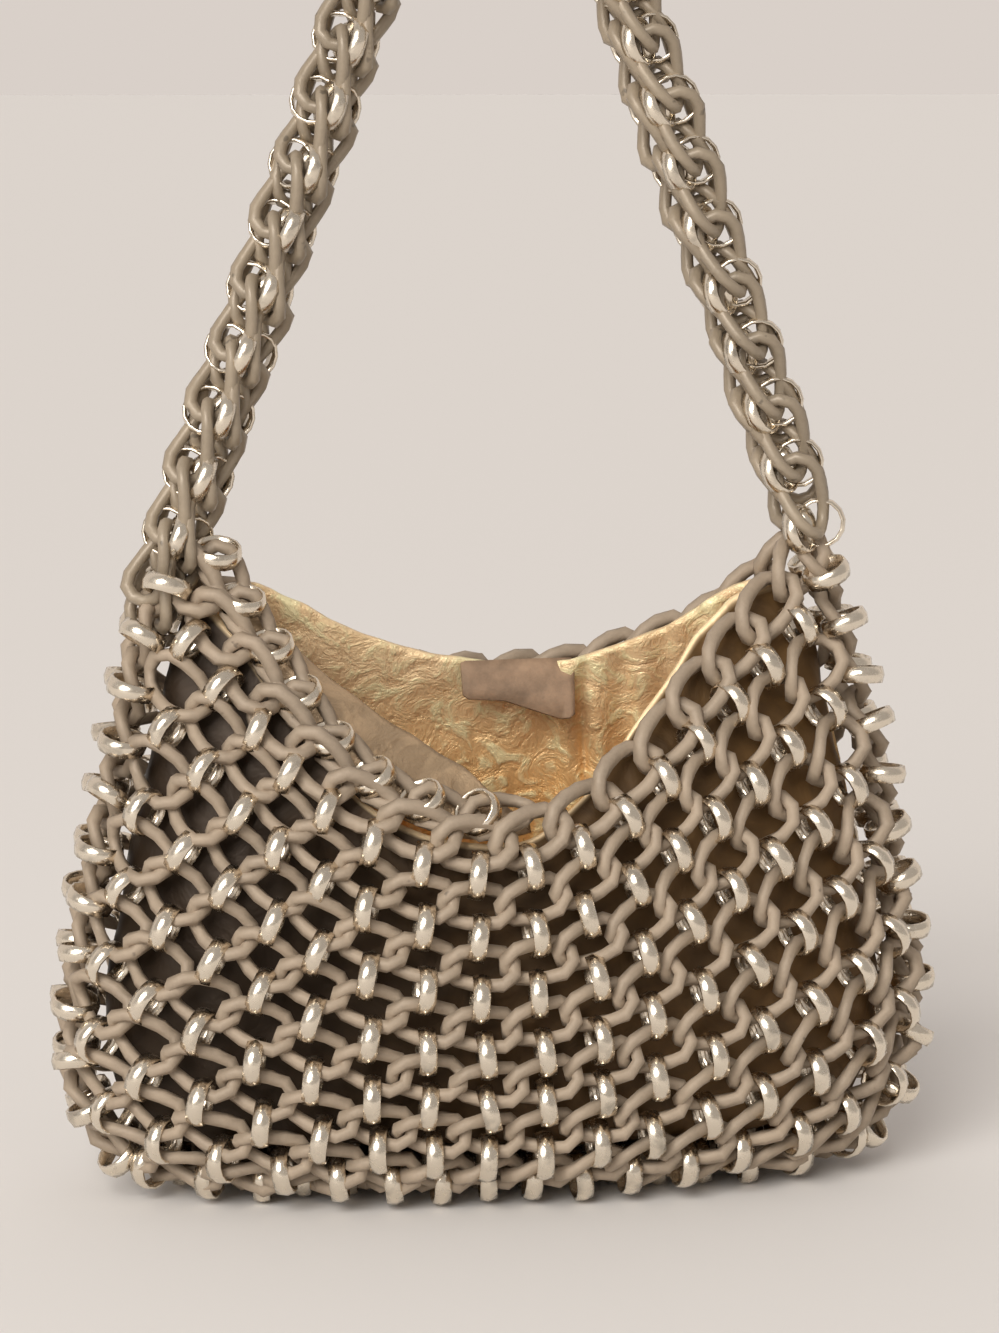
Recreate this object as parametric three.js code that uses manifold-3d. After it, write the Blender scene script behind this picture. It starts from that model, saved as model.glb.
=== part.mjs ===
// A slouchy metal mesh purse: a chain net body of curb links and flat rings, a leather lining with
// its facing and tab, a chain round the mouth, and a rope-like strap of the same net.
// Millimetres, +X to the right, +Y to the back, +Z up. The origin is where the strap hangs.
import * as THREE from "three";
import Module from "manifold-3d";
import { mergeVertices } from "three/addons/utils/BufferGeometryUtils.js";

const wasm = await Module();
wasm.setup();

// Body, measured to the middle of the chain wall
const bodyWidth = 213;
const bodyDepth = 80;
const peakHeight = 160;
const frontDip = 67;
const backDip = 34;
const roundness = 2.2;
const bellyRow = 4.5;
const columnSpread = 0.6;
const wallStops = 40;
const floorStops = 8;
const evenSteps = 400;

// Chain: the matte curb links and the flat rings
const linkWire = 3.4;
const linkWidth = 10.5;
const ringOuter = 10.8;
const fuseBite = 0.9;
const frontLinks = 16;
const backLinks = 13;
const linkSteps = 10;
const wireSides = 5;
const curbTwist = THREE.MathUtils.degToRad(42);

// The net in the solid is coarser than the real one
const netColumns = 10;
const netRows = 6;
const gapWidth = 0.6;
const gapHeight = 0.62;
const gapShoulder = 0.3;
const seatGap = 0.3;
const mouthGap = 0.8;

// Leather
const liningWall = 1.4;
const liningGap = 3.3;
const liningColumns = 24;
const liningRows = 8;
const foldRise = 0.15;
const foldFade = 0.3;
const facingWall = 1.2;
const facingWidth = 17;
const facingLean = THREE.MathUtils.degToRad(38);
const facingStart = 0.08;
const facingEnd = 0.62;
const facingSeat = 1.0;
const facingProbe = 0.1;
const tabWidth = 29;
const tabHeight = 15;
const tabWall = 1.8;
const tabAcross = 0.53;
const tabShortSide = 0.62;
const tabReachDown = 0.16;
const tabProbes = 6;
const tabProbeReach = 0.6;

// Strap: a tube of net three links round
const strapRise = 178;
const strapTopRadius = 22;
const strapRadius = 9;
const strapPitch = 16;
const strapSides = 8;
const strapWaist = 0.76;
const strapCorner = 0.08;
const strapStepsPerPitch = 3;

const ringHalf = ringOuter / 2;
const linkReach = (linkWidth + linkWire) / 2;

// Half width and half depth of the wall at each height, from the peaks to the floor.
// height is a share of the rise from the lowest wall to the peaks, half of bodyWidth / 2,
// front and back of bodyDepth / 2, and turn how far the wall has turned to face the floor.
const PROFILE = [
  { height: 1.0, half: 0.745, front: 0.25, back: 0.25, turn: 0 },
  { height: 0.87, half: 0.825, front: 0.44, back: 0.46, turn: 0 },
  { height: 0.71, half: 0.885, front: 0.68, back: 0.74, turn: 0 },
  { height: 0.57, half: 0.927, front: 0.85, back: 0.88, turn: 0 },
  { height: 0.42, half: 0.968, front: 0.95, back: 0.96, turn: 0 },
  { height: 0.27, half: 1.0, front: 1.0, back: 1.0, turn: 0.05 },
  { height: 0.16, half: 0.988, front: 0.98, back: 0.98, turn: 0.2 },
  { height: 0.07, half: 0.94, front: 0.9, back: 0.9, turn: 0.5 },
  { height: 0.02, half: 0.87, front: 0.78, back: 0.78, turn: 0.8 },
  { height: 0.0, half: 0.79, front: 0.6, back: 0.6, turn: 1 },
];

// The mouth's edge: across from the left peak to the right one, as shares of the way from the
// middle, and how high it stands, as a share of frontDip or backDip above its lowest point.
const MOUTH = [
  { x: -1.0, front: 1.0, back: 1.0 },
  { x: -0.85, front: 0.7, back: 0.66 },
  { x: -0.68, front: 0.4, back: 0.42 },
  { x: -0.5, front: 0.17, back: 0.22 },
  { x: -0.25, front: 0.03, back: 0.05 },
  { x: 0.0, front: 0.0, back: 0.0 },
  { x: 0.25, front: 0.12, back: 0.05 },
  { x: 0.5, front: 0.37, back: 0.22 },
  { x: 0.75, front: 0.68, back: 0.5 },
  { x: 1.0, front: 1.0, back: 1.0 },
];

// Folds of the lining: where across a side, how wide as a share of it, how deep as a share of
// bodyDepth, and the stretch from top to bottom, as shares of the way down.
const FOLDS = [
  { side: 1, across: 0.64, width: 0.035, depth: 0.075, top: 0.0, bottom: 0.9 },
  { side: 1, across: 0.36, width: 0.13, depth: 0.05, top: 0.1, bottom: 0.8 },
  { side: 1, across: 0.74, width: 0.03, depth: 0.025, top: -0.1, bottom: 0.6 },
  { side: 1, across: 0.83, width: 0.03, depth: 0.025, top: -0.1, bottom: 0.6 },
  { side: -1, across: 0.3, width: 0.12, depth: 0.05, top: 0.1, bottom: 0.9 },
  { side: -1, across: 0.68, width: 0.08, depth: 0.04, top: 0.1, bottom: 0.8 },
];

// Top edge of the lining below the middle of the mouth chain, as a share of linkReach, and the
// standing width of the front facing, as a share of facingWidth.
const EDGES = [
  { across: 0.0, front: 1.35, back: 1.35, facing: 0.2 },
  { across: 0.12, front: 0.5, back: -0.4, facing: 0.45 },
  { across: 0.3, front: 0.3, back: -1.0, facing: 0.9 },
  { across: 0.42, front: 0.3, back: -0.9, facing: 0.95 },
  { across: 0.56, front: 0.2, back: -0.4, facing: 0.4 },
  { across: 0.75, front: 0.2, back: -0.2, facing: 0.2 },
  { across: 0.9, front: 0.6, back: 0.1, facing: 0.2 },
  { across: 1.0, front: 1.35, back: 1.35, facing: 0.2 },
];

const { lerp, clamp, smoothstep } = THREE.MathUtils;

// Reads a column of a table, as a smooth curve through its rows.
function smoothColumn(table, key, column) {
  const places = table.map((row) => row[key]);
  const values = table.map((row) => row[column]);
  const curve = new THREE.CubicInterpolant(places, values, 1);
  return (place) => curve.evaluate(clamp(place, places[0], places[places.length - 1]))[0];
}

// The profile as a smooth curve: half width, half depth and height for each side of the body.
function profileCurve(column) {
  return new THREE.CatmullRomCurve3(
    PROFILE.map(
      (row) =>
        new THREE.Vector3(
          (row.half * bodyWidth) / 2,
          (row[column] * bodyDepth) / 2,
          ringHalf + row.height * (peakHeight - ringHalf),
        ),
    ),
  );
}
const curves = new Map([
  [-1, profileCurve("front")],
  [1, profileCurve("back")],
]);
const peakHalf = (PROFILE[0].half * bodyWidth) / 2;

function profileAt(side, place) {
  const { x, y, z } = curves.get(side).getPoint(place);
  const row = place * (PROFILE.length - 1);
  const low = Math.min(Math.floor(row), PROFILE.length - 2);
  const turn = (lerp(PROFILE[low].turn, PROFILE[low + 1].turn, row - low) * Math.PI) / 2;
  return { half: x, depth: y, z, outwards: Math.cos(turn), downwards: Math.sin(turn) };
}

// Height of the middle of the mouth chain over a point x from the centre.
const frontMouth = smoothColumn(MOUTH, "x", "front");
const backMouth = smoothColumn(MOUTH, "x", "back");

function rimHeight(side, x) {
  const [dip, rise] = side < 0 ? [frontDip, frontMouth] : [backDip, backMouth];
  return peakHeight - dip * (1 - rise(x / peakHalf));
}

// Place on the profile where the wall, at a share of the half width, meets the mouth.
function rimPlace(side, share) {
  let [low, high] = [0, 1];
  for (let i = 0; i < 30; i += 1) {
    const middle = (low + high) / 2;
    const { half, z } = profileAt(side, middle);
    if (z > rimHeight(side, share * half)) low = middle;
    else high = middle;
  }
  return (low + high) / 2;
}

const bulge = (share) => (1 - Math.min(1, Math.abs(share)) ** roundness) ** (1 / roundness);

// Shares of the half width that divide a curve over the wall into equal lengths.
function evenShares(side, placeOf) {
  const shares = [];
  const lengths = [0];
  let last = null;
  for (let i = 0; i <= evenSteps; i += 1) {
    const share = -Math.cos((Math.PI * i) / evenSteps);
    const { half, depth, z } = profileAt(side, placeOf(share));
    const point = new THREE.Vector3(share * half, side * depth * bulge(share), z);
    if (last) lengths.push(lengths[i - 1] + point.distanceTo(last));
    shares.push(share);
    last = point;
  }
  return (across) => {
    const target = across * lengths[evenSteps];
    const next = Math.max(1, lengths.findIndex((length) => length >= target - 1e-9));
    const span = lengths[next] - lengths[next - 1];
    return lerp(shares[next - 1], shares[next], (target - lengths[next - 1]) / span);
  };
}
const bellyPlace = bellyRow / (PROFILE.length - 1);
const rimShares = new Map([-1, 1].map((side) => [side, evenShares(side, (x) => rimPlace(side, x))]));
const bellyShares = new Map([-1, 1].map((side) => [side, evenShares(side, () => bellyPlace)]));

// A column of the wall, from the mouth down to the middle of the underside. Each stop holds what
// places a point there: the share of the half width, the profile, and how much depth is left.
const columnCache = new Map();
function wallColumn(side, across) {
  const key = side + ":" + across.toFixed(6);
  if (columnCache.has(key)) return columnCache.get(key);
  const [atRim, atBelly] = [rimShares.get(side)(across), bellyShares.get(side)(across)];
  const start = rimPlace(side, atRim);
  const stops = [];
  for (let i = 0; i <= wallStops; i += 1) {
    const share = lerp(atRim, atBelly, smoothstep(i / wallStops, 0, columnSpread));
    stops.push({ share, left: 1, ...profileAt(side, lerp(start, 1, i / wallStops)) });
  }
  for (let i = 1; i <= floorStops; i += 1) {
    stops.push({ ...stops[wallStops], left: 1 - i / floorStops });
  }
  stops[0].length = 0;
  for (let i = 1; i < stops.length; i += 1) {
    const step = placeStop(side, stops[i], 0).distanceTo(placeStop(side, stops[i - 1], 0));
    stops[i].length = stops[i - 1].length + step;
  }
  const column = { stops, length: stops[stops.length - 1].length };
  columnCache.set(key, column);
  return column;
}

function placeStop(side, stop, inset) {
  const inwards = inset * stop.outwards;
  return new THREE.Vector3(
    stop.share * (stop.half - inwards),
    side * (stop.depth - inwards) * bulge(stop.share) * stop.left,
    stop.z + inset * stop.downwards,
  );
}

// A point of the wall: across a side from left to right, down from the mouth chain, and inset
// from the middle of the wall. Above the mouth chain the wall runs on straight.
function wallPoint(side, across, down, inset = 0) {
  const { stops } = wallColumn(side, across);
  let next = stops.findIndex((stop, i) => i > 0 && stop.length >= down);
  if (next < 0) next = stops.length - 1;
  const [low, high] = [stops[next - 1], stops[next]];
  const span = high.length - low.length;
  const share = span > 0 ? Math.min(1, (down - low.length) / span) : 0;
  return placeStop(side, low, inset).lerp(placeStop(side, high, inset), share);
}

// How far down a column a point lies that is this far from the middle of the mouth chain.
function belowMouth(side, across, distance) {
  const reach = 0.02;
  const along = wallPoint(side, Math.min(1, across + reach), 0);
  along.sub(wallPoint(side, Math.max(0, across - reach), 0)).normalize();
  const down = wallPoint(side, across, distance).sub(wallPoint(side, across, 0)).normalize();
  return distance / Math.sqrt(1 - along.dot(down) ** 2);
}

// Mesh building
function meshFrom(vertices, quads) {
  const geometry = new THREE.BufferGeometry();
  geometry.setAttribute("position", new THREE.Float32BufferAttribute(vertices, 3));
  geometry.setIndex(quads.flatMap(([a, b, c, d]) => (d === undefined ? [a, b, c] : [a, b, c, a, c, d])));
  return geometry;
}

// Collects points and quads, and turns all faces out at the end if the volume is negative.
class Shell {
  constructor() {
    this.vertices = [];
    this.quads = [];
  }

  point({ x, y, z }) {
    this.vertices.push(x, y, z);
    return this.vertices.length / 3 - 1;
  }

  quad(...corners) {
    this.quads.push(corners);
  }

  geometry() {
    const made = meshFrom(this.vertices, this.quads);
    if (signedVolume(made) < 0) made.setIndex([...made.index.array].reverse());
    return made;
  }
}

function signedVolume(geometry) {
  const { array } = geometry.attributes.position;
  const corner = (i) => new THREE.Vector3().fromArray(array, geometry.index.array[i] * 3);
  let sum = 0;
  for (let i = 0; i < geometry.index.count; i += 3) {
    sum += corner(i).dot(corner(i + 1).cross(corner(i + 2))) / 6;
  }
  return sum;
}

function asSolid(geometry) {
  const bare = geometry.clone();
  bare.deleteAttribute("normal");
  bare.deleteAttribute("uv");
  const merged = mergeVertices(bare, 1e-4);
  return new wasm.Manifold(
    new wasm.Mesh({
      numProp: 3,
      vertProperties: merged.attributes.position.array,
      triVerts: new Uint32Array(merged.index.array),
    }),
  );
}

function asGeometry(solid) {
  const { vertProperties, triVerts } = solid.getMesh();
  const geometry = new THREE.BufferGeometry();
  geometry.setAttribute("position", new THREE.BufferAttribute(new Float32Array(vertProperties), 3));
  geometry.setIndex(new THREE.BufferAttribute(new Uint32Array(triVerts), 1));
  return geometry;
}

// One side of the net: a thick wall with a six-cornered gap in each cell. The two sides meet in
// the plane between front and back, with seatGap between them.
function netGeometry(side) {
  const shell = new Shell();
  const [outer, inner] = [-ringHalf, ringHalf];
  const at = (column, row, inset) => {
    const across = column / netColumns;
    const top = belowMouth(side, across, linkReach + mouthGap);
    const down = lerp(top, wallColumn(side, across).length, row / netRows);
    const point = wallPoint(side, across, down, inset);
    point.y += (side * seatGap) / 2;
    return point;
  };
  const grid = new Map();
  const gridPoint = (column, row, inset) => {
    const key = [column, row, inset].join();
    if (!grid.has(key)) grid.set(key, shell.point(at(column, row, inset)));
    return grid.get(key);
  };
  const border = [[0, 0], [0.5, 0], [1, 0], [1, 1], [0.5, 1], [0, 1]];
  const gap = border.map(([x, y]) =>
    x === 0.5
      ? [0.5, 0.5 + (y - 0.5) * gapHeight]
      : [0.5 + (x - 0.5) * gapWidth, 0.5 + (y - 0.5) * gapHeight * (1 - gapShoulder)],
  );
  for (let column = 0; column < netColumns; column += 1) {
    for (let row = 0; row < netRows; row += 1) {
      const rings = [outer, inner].map((inset) => ({
        edge: border.map(([x, y]) => gridPoint(column + x, row + y, inset)),
        hole: gap.map(([x, y]) => shell.point(at(column + x, row + y, inset))),
      }));
      for (let i = 0; i < border.length; i += 1) {
        const j = (i + 1) % border.length;
        const [front, back] = rings;
        shell.quad(front.edge[i], front.edge[j], front.hole[j], front.hole[i]);
        shell.quad(back.edge[j], back.edge[i], back.hole[i], back.hole[j]);
        shell.quad(front.hole[i], front.hole[j], back.hole[j], back.hole[i]);
      }
    }
  }
  const close = (from, to) => {
    shell.quad(
      gridPoint(...to, outer),
      gridPoint(...from, outer),
      gridPoint(...from, inner),
      gridPoint(...to, inner),
    );
  };
  for (let i = 0; i < 2 * netColumns; i += 1) {
    close([i / 2, 0], [(i + 1) / 2, 0]);
    close([(i + 1) / 2, netRows], [i / 2, netRows]);
  }
  for (let row = 0; row < netRows; row += 1) {
    close([netColumns, row], [netColumns, row + 1]);
    close([0, row + 1], [0, row]);
  }
  return shell.geometry();
}

// The lining, a pouch inside the net: an inner and an outer skin joined along its top edge.
const liningInset = ringHalf + liningGap;

function foldDepth(side, across, way) {
  return FOLDS.filter((fold) => fold.side === side).reduce((sum, fold) => {
    const sideways = Math.exp(-(((across - fold.across) / fold.width) ** 2));
    const started = smoothstep(way, fold.top, fold.top + foldRise);
    const ended = smoothstep(way, fold.bottom - foldFade, fold.bottom);
    return sum + fold.depth * bodyDepth * sideways * started * (1 - ended);
  }, 0);
}

const liningEdges = new Map([
  [-1, smoothColumn(EDGES, "across", "front")],
  [1, smoothColumn(EDGES, "across", "back")],
]);
const facingShare = smoothColumn(EDGES, "across", "facing");

function liningTop(side, across) {
  return linkReach * liningEdges.get(side)(across);
}

function liningPoint(side, across, way, layer) {
  const down = lerp(liningTop(side, across), wallColumn(side, across).length, way);
  return wallPoint(side, across, down, liningInset + layer + foldDepth(side, across, way));
}

function liningGeometry() {
  const shell = new Shell();
  const known = new Map();
  const corner = (side, column, row, layer) => {
    const onSeam = column === 0 || column === liningColumns || row === liningRows;
    const key = [onSeam ? 0 : side, column, row, layer].join();
    if (!known.has(key)) {
      const point = liningPoint(onSeam ? -1 : side, column / liningColumns, row / liningRows, layer);
      known.set(key, shell.point(point));
    }
    return known.get(key);
  };
  for (const side of [-1, 1]) {
    for (let column = 0; column < liningColumns; column += 1) {
      const [left, right] = side < 0 ? [column, column + 1] : [column + 1, column];
      for (let row = 0; row < liningRows; row += 1) {
        for (const [layer, low, high] of [[0, row + 1, row], [liningWall, row, row + 1]]) {
          shell.quad(
            corner(side, left, low, layer),
            corner(side, right, low, layer),
            corner(side, right, high, layer),
            corner(side, left, high, layer),
          );
        }
      }
      shell.quad(
        corner(side, left, 0, 0),
        corner(side, right, 0, 0),
        corner(side, right, 0, liningWall),
        corner(side, left, 0, liningWall),
      );
    }
  }
  return shell.geometry();
}

// A solid through sections of equal numbers of points, closed at both ends.
function loft(sections) {
  const shell = new Shell();
  const rings = sections.map((section) => section.map((point) => shell.point(point)));
  for (let i = 1; i < rings.length; i += 1) {
    rings[i].forEach((corner, k) => {
      const n = (k + 1) % rings[i].length;
      shell.quad(rings[i - 1][k], rings[i - 1][n], rings[i][n], corner);
    });
  }
  for (const [ring, flip] of [[rings[0], true], [rings[rings.length - 1], false]]) {
    for (let k = 1; k < ring.length - 1; k += 1) {
      shell.quad(...(flip ? [ring[0], ring[k + 1], ring[k]] : [ring[0], ring[k], ring[k + 1]]));
    }
  }
  return shell.geometry();
}

// The facing stands on the front edge of the lining, square to it, and leans into the mouth.
function facingGeometry() {
  const sections = [];
  const first = Math.round(facingStart * liningColumns);
  const last = Math.round(facingEnd * liningColumns);
  for (let column = first; column <= last; column += 1) {
    const across = column / liningColumns;
    const [before, foot, after] = [column - 1, column, column + 1].map((place) =>
      liningPoint(-1, place / liningColumns, 0, liningWall / 2),
    );
    const along = after.sub(before).normalize();
    const square = (direction) => direction.addScaledVector(along, -direction.dot(along)).normalize();
    const up = square(foot.clone().sub(liningPoint(-1, across, facingProbe, liningWall / 2)));
    const into = square(new THREE.Vector3(0, 1, 0));
    const rise = up.clone().multiplyScalar(Math.cos(facingLean));
    rise.addScaledVector(into, Math.sin(facingLean)).normalize();
    const half = new THREE.Vector3().crossVectors(along, rise).multiplyScalar(facingWall / 2);
    foot.addScaledVector(up, facingSeat);
    const head = foot.clone().addScaledVector(rise, facingWidth * facingShare(across));
    sections.push([foot.clone().sub(half), head.clone().sub(half), head.add(half), foot.add(half)]);
  }
  return loft(sections);
}

// The leather tab hangs against the inside of the back, under its edge.
function tabMesh() {
  const shape = new THREE.Shape();
  const round = tabHeight / 8;
  const [half, shortSide] = [tabWidth / 2, tabHeight * tabShortSide];
  shape.moveTo(-half + round, 0);
  shape.lineTo(half - round, 0);
  shape.quadraticCurveTo(half, 0, half, -round);
  shape.lineTo(half, -tabHeight + round);
  shape.quadraticCurveTo(half, -tabHeight, half - round, -tabHeight);
  shape.lineTo(-half / 3, -shortSide - round);
  shape.lineTo(-half + round, -shortSide);
  shape.quadraticCurveTo(-half, -shortSide, -half, -shortSide + round);
  shape.lineTo(-half, -round);
  shape.quadraticCurveTo(-half, 0, -half + round, 0);
  const geometry = new THREE.ExtrudeGeometry(shape, { depth: tabWall, bevelEnabled: false, curveSegments: 3 });
  const mesh = named("leather_tab", geometry, "tab_leather");
  const inside = (across, way) => liningPoint(1, across, way, liningWall);
  const top = inside(tabAcross, 0);
  const up = top.clone().sub(inside(tabAcross, tabReachDown)).normalize();
  const into = new THREE.Vector3(0, -1, 0).addScaledVector(up, up.y).normalize();
  let standOff = 0;
  for (let column = -tabProbes; column <= tabProbes; column += 1) {
    for (let row = 0; row <= tabProbes; row += 1) {
      const across = tabAcross + (column / tabProbes) * (tabWidth / bodyWidth) * tabProbeReach;
      const probe = inside(across, (row / tabProbes) * tabReachDown);
      standOff = Math.max(standOff, probe.sub(top).dot(into));
    }
  }
  mesh.matrixAutoUpdate = false;
  mesh.matrix.makeBasis(new THREE.Vector3().crossVectors(up, into), up, into);
  mesh.matrix.setPosition(top.addScaledVector(into, standOff + seatGap));
  return mesh;
}

// One curb link: an oval of wire that turns by curbTwist each way from its middle, so that its
// ends stand square to its neighbours'. Local x runs along the chain, y up and z outwards.
class CurbLink extends THREE.Curve {
  constructor(length) {
    super();
    this.straight = Math.max(0, length - linkWidth) / 2;
    this.end = length / 2;
  }

  getPoint(t, target = new THREE.Vector3()) {
    const angle = 2 * Math.PI * t;
    const x = Math.sign(Math.cos(angle)) * this.straight + (Math.cos(angle) * linkWidth) / 2;
    const wide = (Math.sin(angle) * linkWidth) / 2;
    const turn = (-curbTwist * x) / this.end;
    return target.set(x, wide * Math.cos(turn), wide * Math.sin(turn));
  }
}

function wireLoop(curve, steps, sides, radius) {
  const shell = new Shell();
  const frames = curve.computeFrenetFrames(steps, true);
  const rings = [];
  for (let i = 0; i < steps; i += 1) {
    const centre = curve.getPointAt(i / steps);
    const ring = [];
    for (let k = 0; k < sides; k += 1) {
      const angle = (2 * Math.PI * k) / sides;
      const point = centre.clone();
      point.addScaledVector(frames.normals[i], radius * Math.cos(angle));
      point.addScaledVector(frames.binormals[i], radius * Math.sin(angle));
      ring.push(shell.point(point));
    }
    rings.push(ring);
  }
  rings.forEach((ring, i) => {
    const onward = rings[(i + 1) % steps];
    ring.forEach((corner, k) => {
      const n = (k + 1) % sides;
      shell.quad(corner, ring[n], onward[n], onward[k]);
    });
  });
  return shell.geometry();
}

// Stands a link at a point of the mouth, along the chain and upright in the wall.
function mouthFrame(side, across, spacing) {
  const reach = spacing / 4;
  const centre = wallPoint(side, across, 0);
  const along = wallPoint(side, Math.min(1, across + reach), 0);
  along.sub(wallPoint(side, Math.max(0, across - reach), 0)).multiplyScalar(-side).normalize();
  const up = centre.clone().sub(wallPoint(side, across, linkReach));
  const outwards = new THREE.Vector3().crossVectors(along, up).normalize();
  up.crossVectors(outwards, along).normalize();
  return new THREE.Matrix4().makeBasis(along, up, outwards).setPosition(centre);
}

function joinMouthChain() {
  let chain = null;
  for (const [side, links] of [[-1, frontLinks], [1, backLinks]]) {
    for (let i = 0; i < links; i += 1) {
      const across = (i + 0.5) / links;
      const before = wallPoint(side, i / links, 0);
      const pitch = wallPoint(side, (i + 1) / links, 0).distanceTo(before);
      const length = pitch + linkWire - fuseBite;
      const link = wireLoop(new CurbLink(length), linkSteps, wireSides, linkWire / 2);
      link.applyMatrix4(mouthFrame(side, across, 1 / links));
      const solid = asSolid(link);
      chain = chain ? chain.add(solid) : solid;
    }
  }
  return chain;
}

// The strap runs up from one peak, round its hanging point and down to the other.
const mouthChain = joinMouthChain();
const strapFoot = mouthChain.boundingBox().max[2] + seatGap;
const strapTop = strapFoot + strapRise;

function strapRoute() {
  const centre = strapTop - strapTopRadius;
  const run = Math.hypot(peakHalf, centre - strapFoot);
  const lean = Math.acos(strapTopRadius / run) - Math.atan2(peakHalf, centre - strapFoot);
  const arcEnd = Math.PI / 2 - lean;
  const points = [new THREE.Vector3(-peakHalf, 0, strapFoot)];
  const tangent = new THREE.Vector3(-Math.sin(arcEnd), 0, Math.cos(arcEnd)).multiplyScalar(strapTopRadius);
  tangent.z += centre;
  for (const share of [0.06, 0.35, 0.7]) points.push(points[0].clone().lerp(tangent, share));
  for (const share of [-1, -0.6, -0.2, 0.2, 0.6, 1]) {
    const angle = arcEnd * share;
    points.push(new THREE.Vector3(Math.sin(angle) * strapTopRadius, 0, centre + Math.cos(angle) * strapTopRadius));
  }
  for (const share of [0.7, 0.35, 0.06, 0]) {
    const left = points[0].clone().lerp(tangent, share);
    points.push(new THREE.Vector3(-left.x, 0, left.z));
  }
  return new THREE.CatmullRomCurve3(points, false, "centripetal");
}

// Outline of the bundle at a place in its pattern: wide and three-cornered over a row of links,
// narrow and round over a row of rings.
function bundleRadius(angle, phase) {
  const row = (1 + Math.cos(2 * Math.PI * phase)) / 2;
  const corners = 1 + strapCorner * Math.cos(3 * angle);
  return strapRadius * lerp(strapWaist, corners, row);
}

function strapGeometry() {
  const route = strapRoute();
  const rows = Math.round(route.getLength() / strapPitch);
  const steps = rows * strapStepsPerPitch;
  const across = new THREE.Vector3(0, 1, 0);
  const sections = [];
  for (let i = 0; i <= steps; i += 1) {
    const centre = route.getPointAt(i / steps);
    const along = route.getTangentAt(i / steps);
    if (i === 0 || i === steps) along.set(0, 0, Math.sign(along.z));
    const sideways = new THREE.Vector3().crossVectors(across, along).normalize();
    const section = [];
    for (let k = 0; k < strapSides; k += 1) {
      const angle = (2 * Math.PI * k) / strapSides;
      const radius = bundleRadius(angle, i / strapStepsPerPitch);
      const point = centre.clone().addScaledVector(sideways, radius * Math.sin(angle));
      section.push(point.addScaledVector(across, -radius * Math.cos(angle)));
    }
    sections.push(section);
  }
  return loft(sections);
}

// Materials and assembly
const FINISHES = {
  matte_links: new THREE.MeshStandardMaterial({ color: 0xa89c8a, roughness: 0.6, metalness: 0.25 }),
  strap_links: new THREE.MeshStandardMaterial({ color: 0xa2957f, roughness: 0.45, metalness: 0.3 }),
  gold_leather: new THREE.MeshStandardMaterial({ color: 0xc79a4c, roughness: 0.4, metalness: 0.7 }),
  pewter_leather: new THREE.MeshStandardMaterial({ color: 0x8f8070, roughness: 0.4, metalness: 0.5 }),
  tab_leather: new THREE.MeshStandardMaterial({ color: 0x756656, roughness: 0.8, metalness: 0.0 }),
};

function named(name, geometry, finish) {
  const mesh = new THREE.Mesh(geometry, FINISHES[finish]);
  mesh.name = name;
  return mesh;
}

const purse = new THREE.Group();
purse.add(
  named("net_front", netGeometry(-1), "matte_links"),
  named("net_back", netGeometry(1), "matte_links"),
  named("mouth_chain", asGeometry(mouthChain), "matte_links"),
  named("lining", liningGeometry(), "gold_leather"),
  named("front_facing", facingGeometry(), "pewter_leather"),
  tabMesh(),
  named("strap", strapGeometry(), "strap_links"),
);
purse.position.z = -(strapTop - bundleRadius(0, 0));

export default purse;
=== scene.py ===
"""A slouchy evening purse of coated curb links and flat rings, with a gold leather lining.

Everything is in metres, in the frame of the purse: +X to the right, +Y to the back, +Z up,
with the origin where the strap hangs.
"""
import math
import random
from collections import namedtuple

import bmesh
import bpy
from bpy.props import FloatProperty, FloatVectorProperty, IntProperty, PointerProperty
from mathutils import Matrix, Vector, noise


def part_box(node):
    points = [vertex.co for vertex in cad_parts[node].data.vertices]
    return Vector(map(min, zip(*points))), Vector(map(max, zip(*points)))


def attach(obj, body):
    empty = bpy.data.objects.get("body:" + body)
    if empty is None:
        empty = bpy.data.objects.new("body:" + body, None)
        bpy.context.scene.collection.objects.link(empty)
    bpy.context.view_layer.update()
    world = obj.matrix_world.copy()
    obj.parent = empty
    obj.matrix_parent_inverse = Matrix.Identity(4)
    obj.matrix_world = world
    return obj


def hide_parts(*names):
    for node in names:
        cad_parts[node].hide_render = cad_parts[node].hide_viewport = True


bl_info = {
    "name": "Metal Mesh Purse",
    "version": (1, 0, 0),
    "blender": (4, 5, 0),
    "location": "View3D > Sidebar > Purse",
    "description": "Builds a chain mesh evening purse piece by piece",
    "category": "Add Mesh",
}

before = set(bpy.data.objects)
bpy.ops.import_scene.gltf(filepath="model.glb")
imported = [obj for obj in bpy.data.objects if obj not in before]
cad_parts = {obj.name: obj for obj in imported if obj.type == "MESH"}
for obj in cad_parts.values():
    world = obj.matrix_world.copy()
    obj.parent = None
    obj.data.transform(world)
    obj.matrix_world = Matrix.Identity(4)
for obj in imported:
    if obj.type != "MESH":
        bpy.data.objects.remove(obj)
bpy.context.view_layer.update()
MM = 0.001
FRONT, BACK = -1, 1

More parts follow.
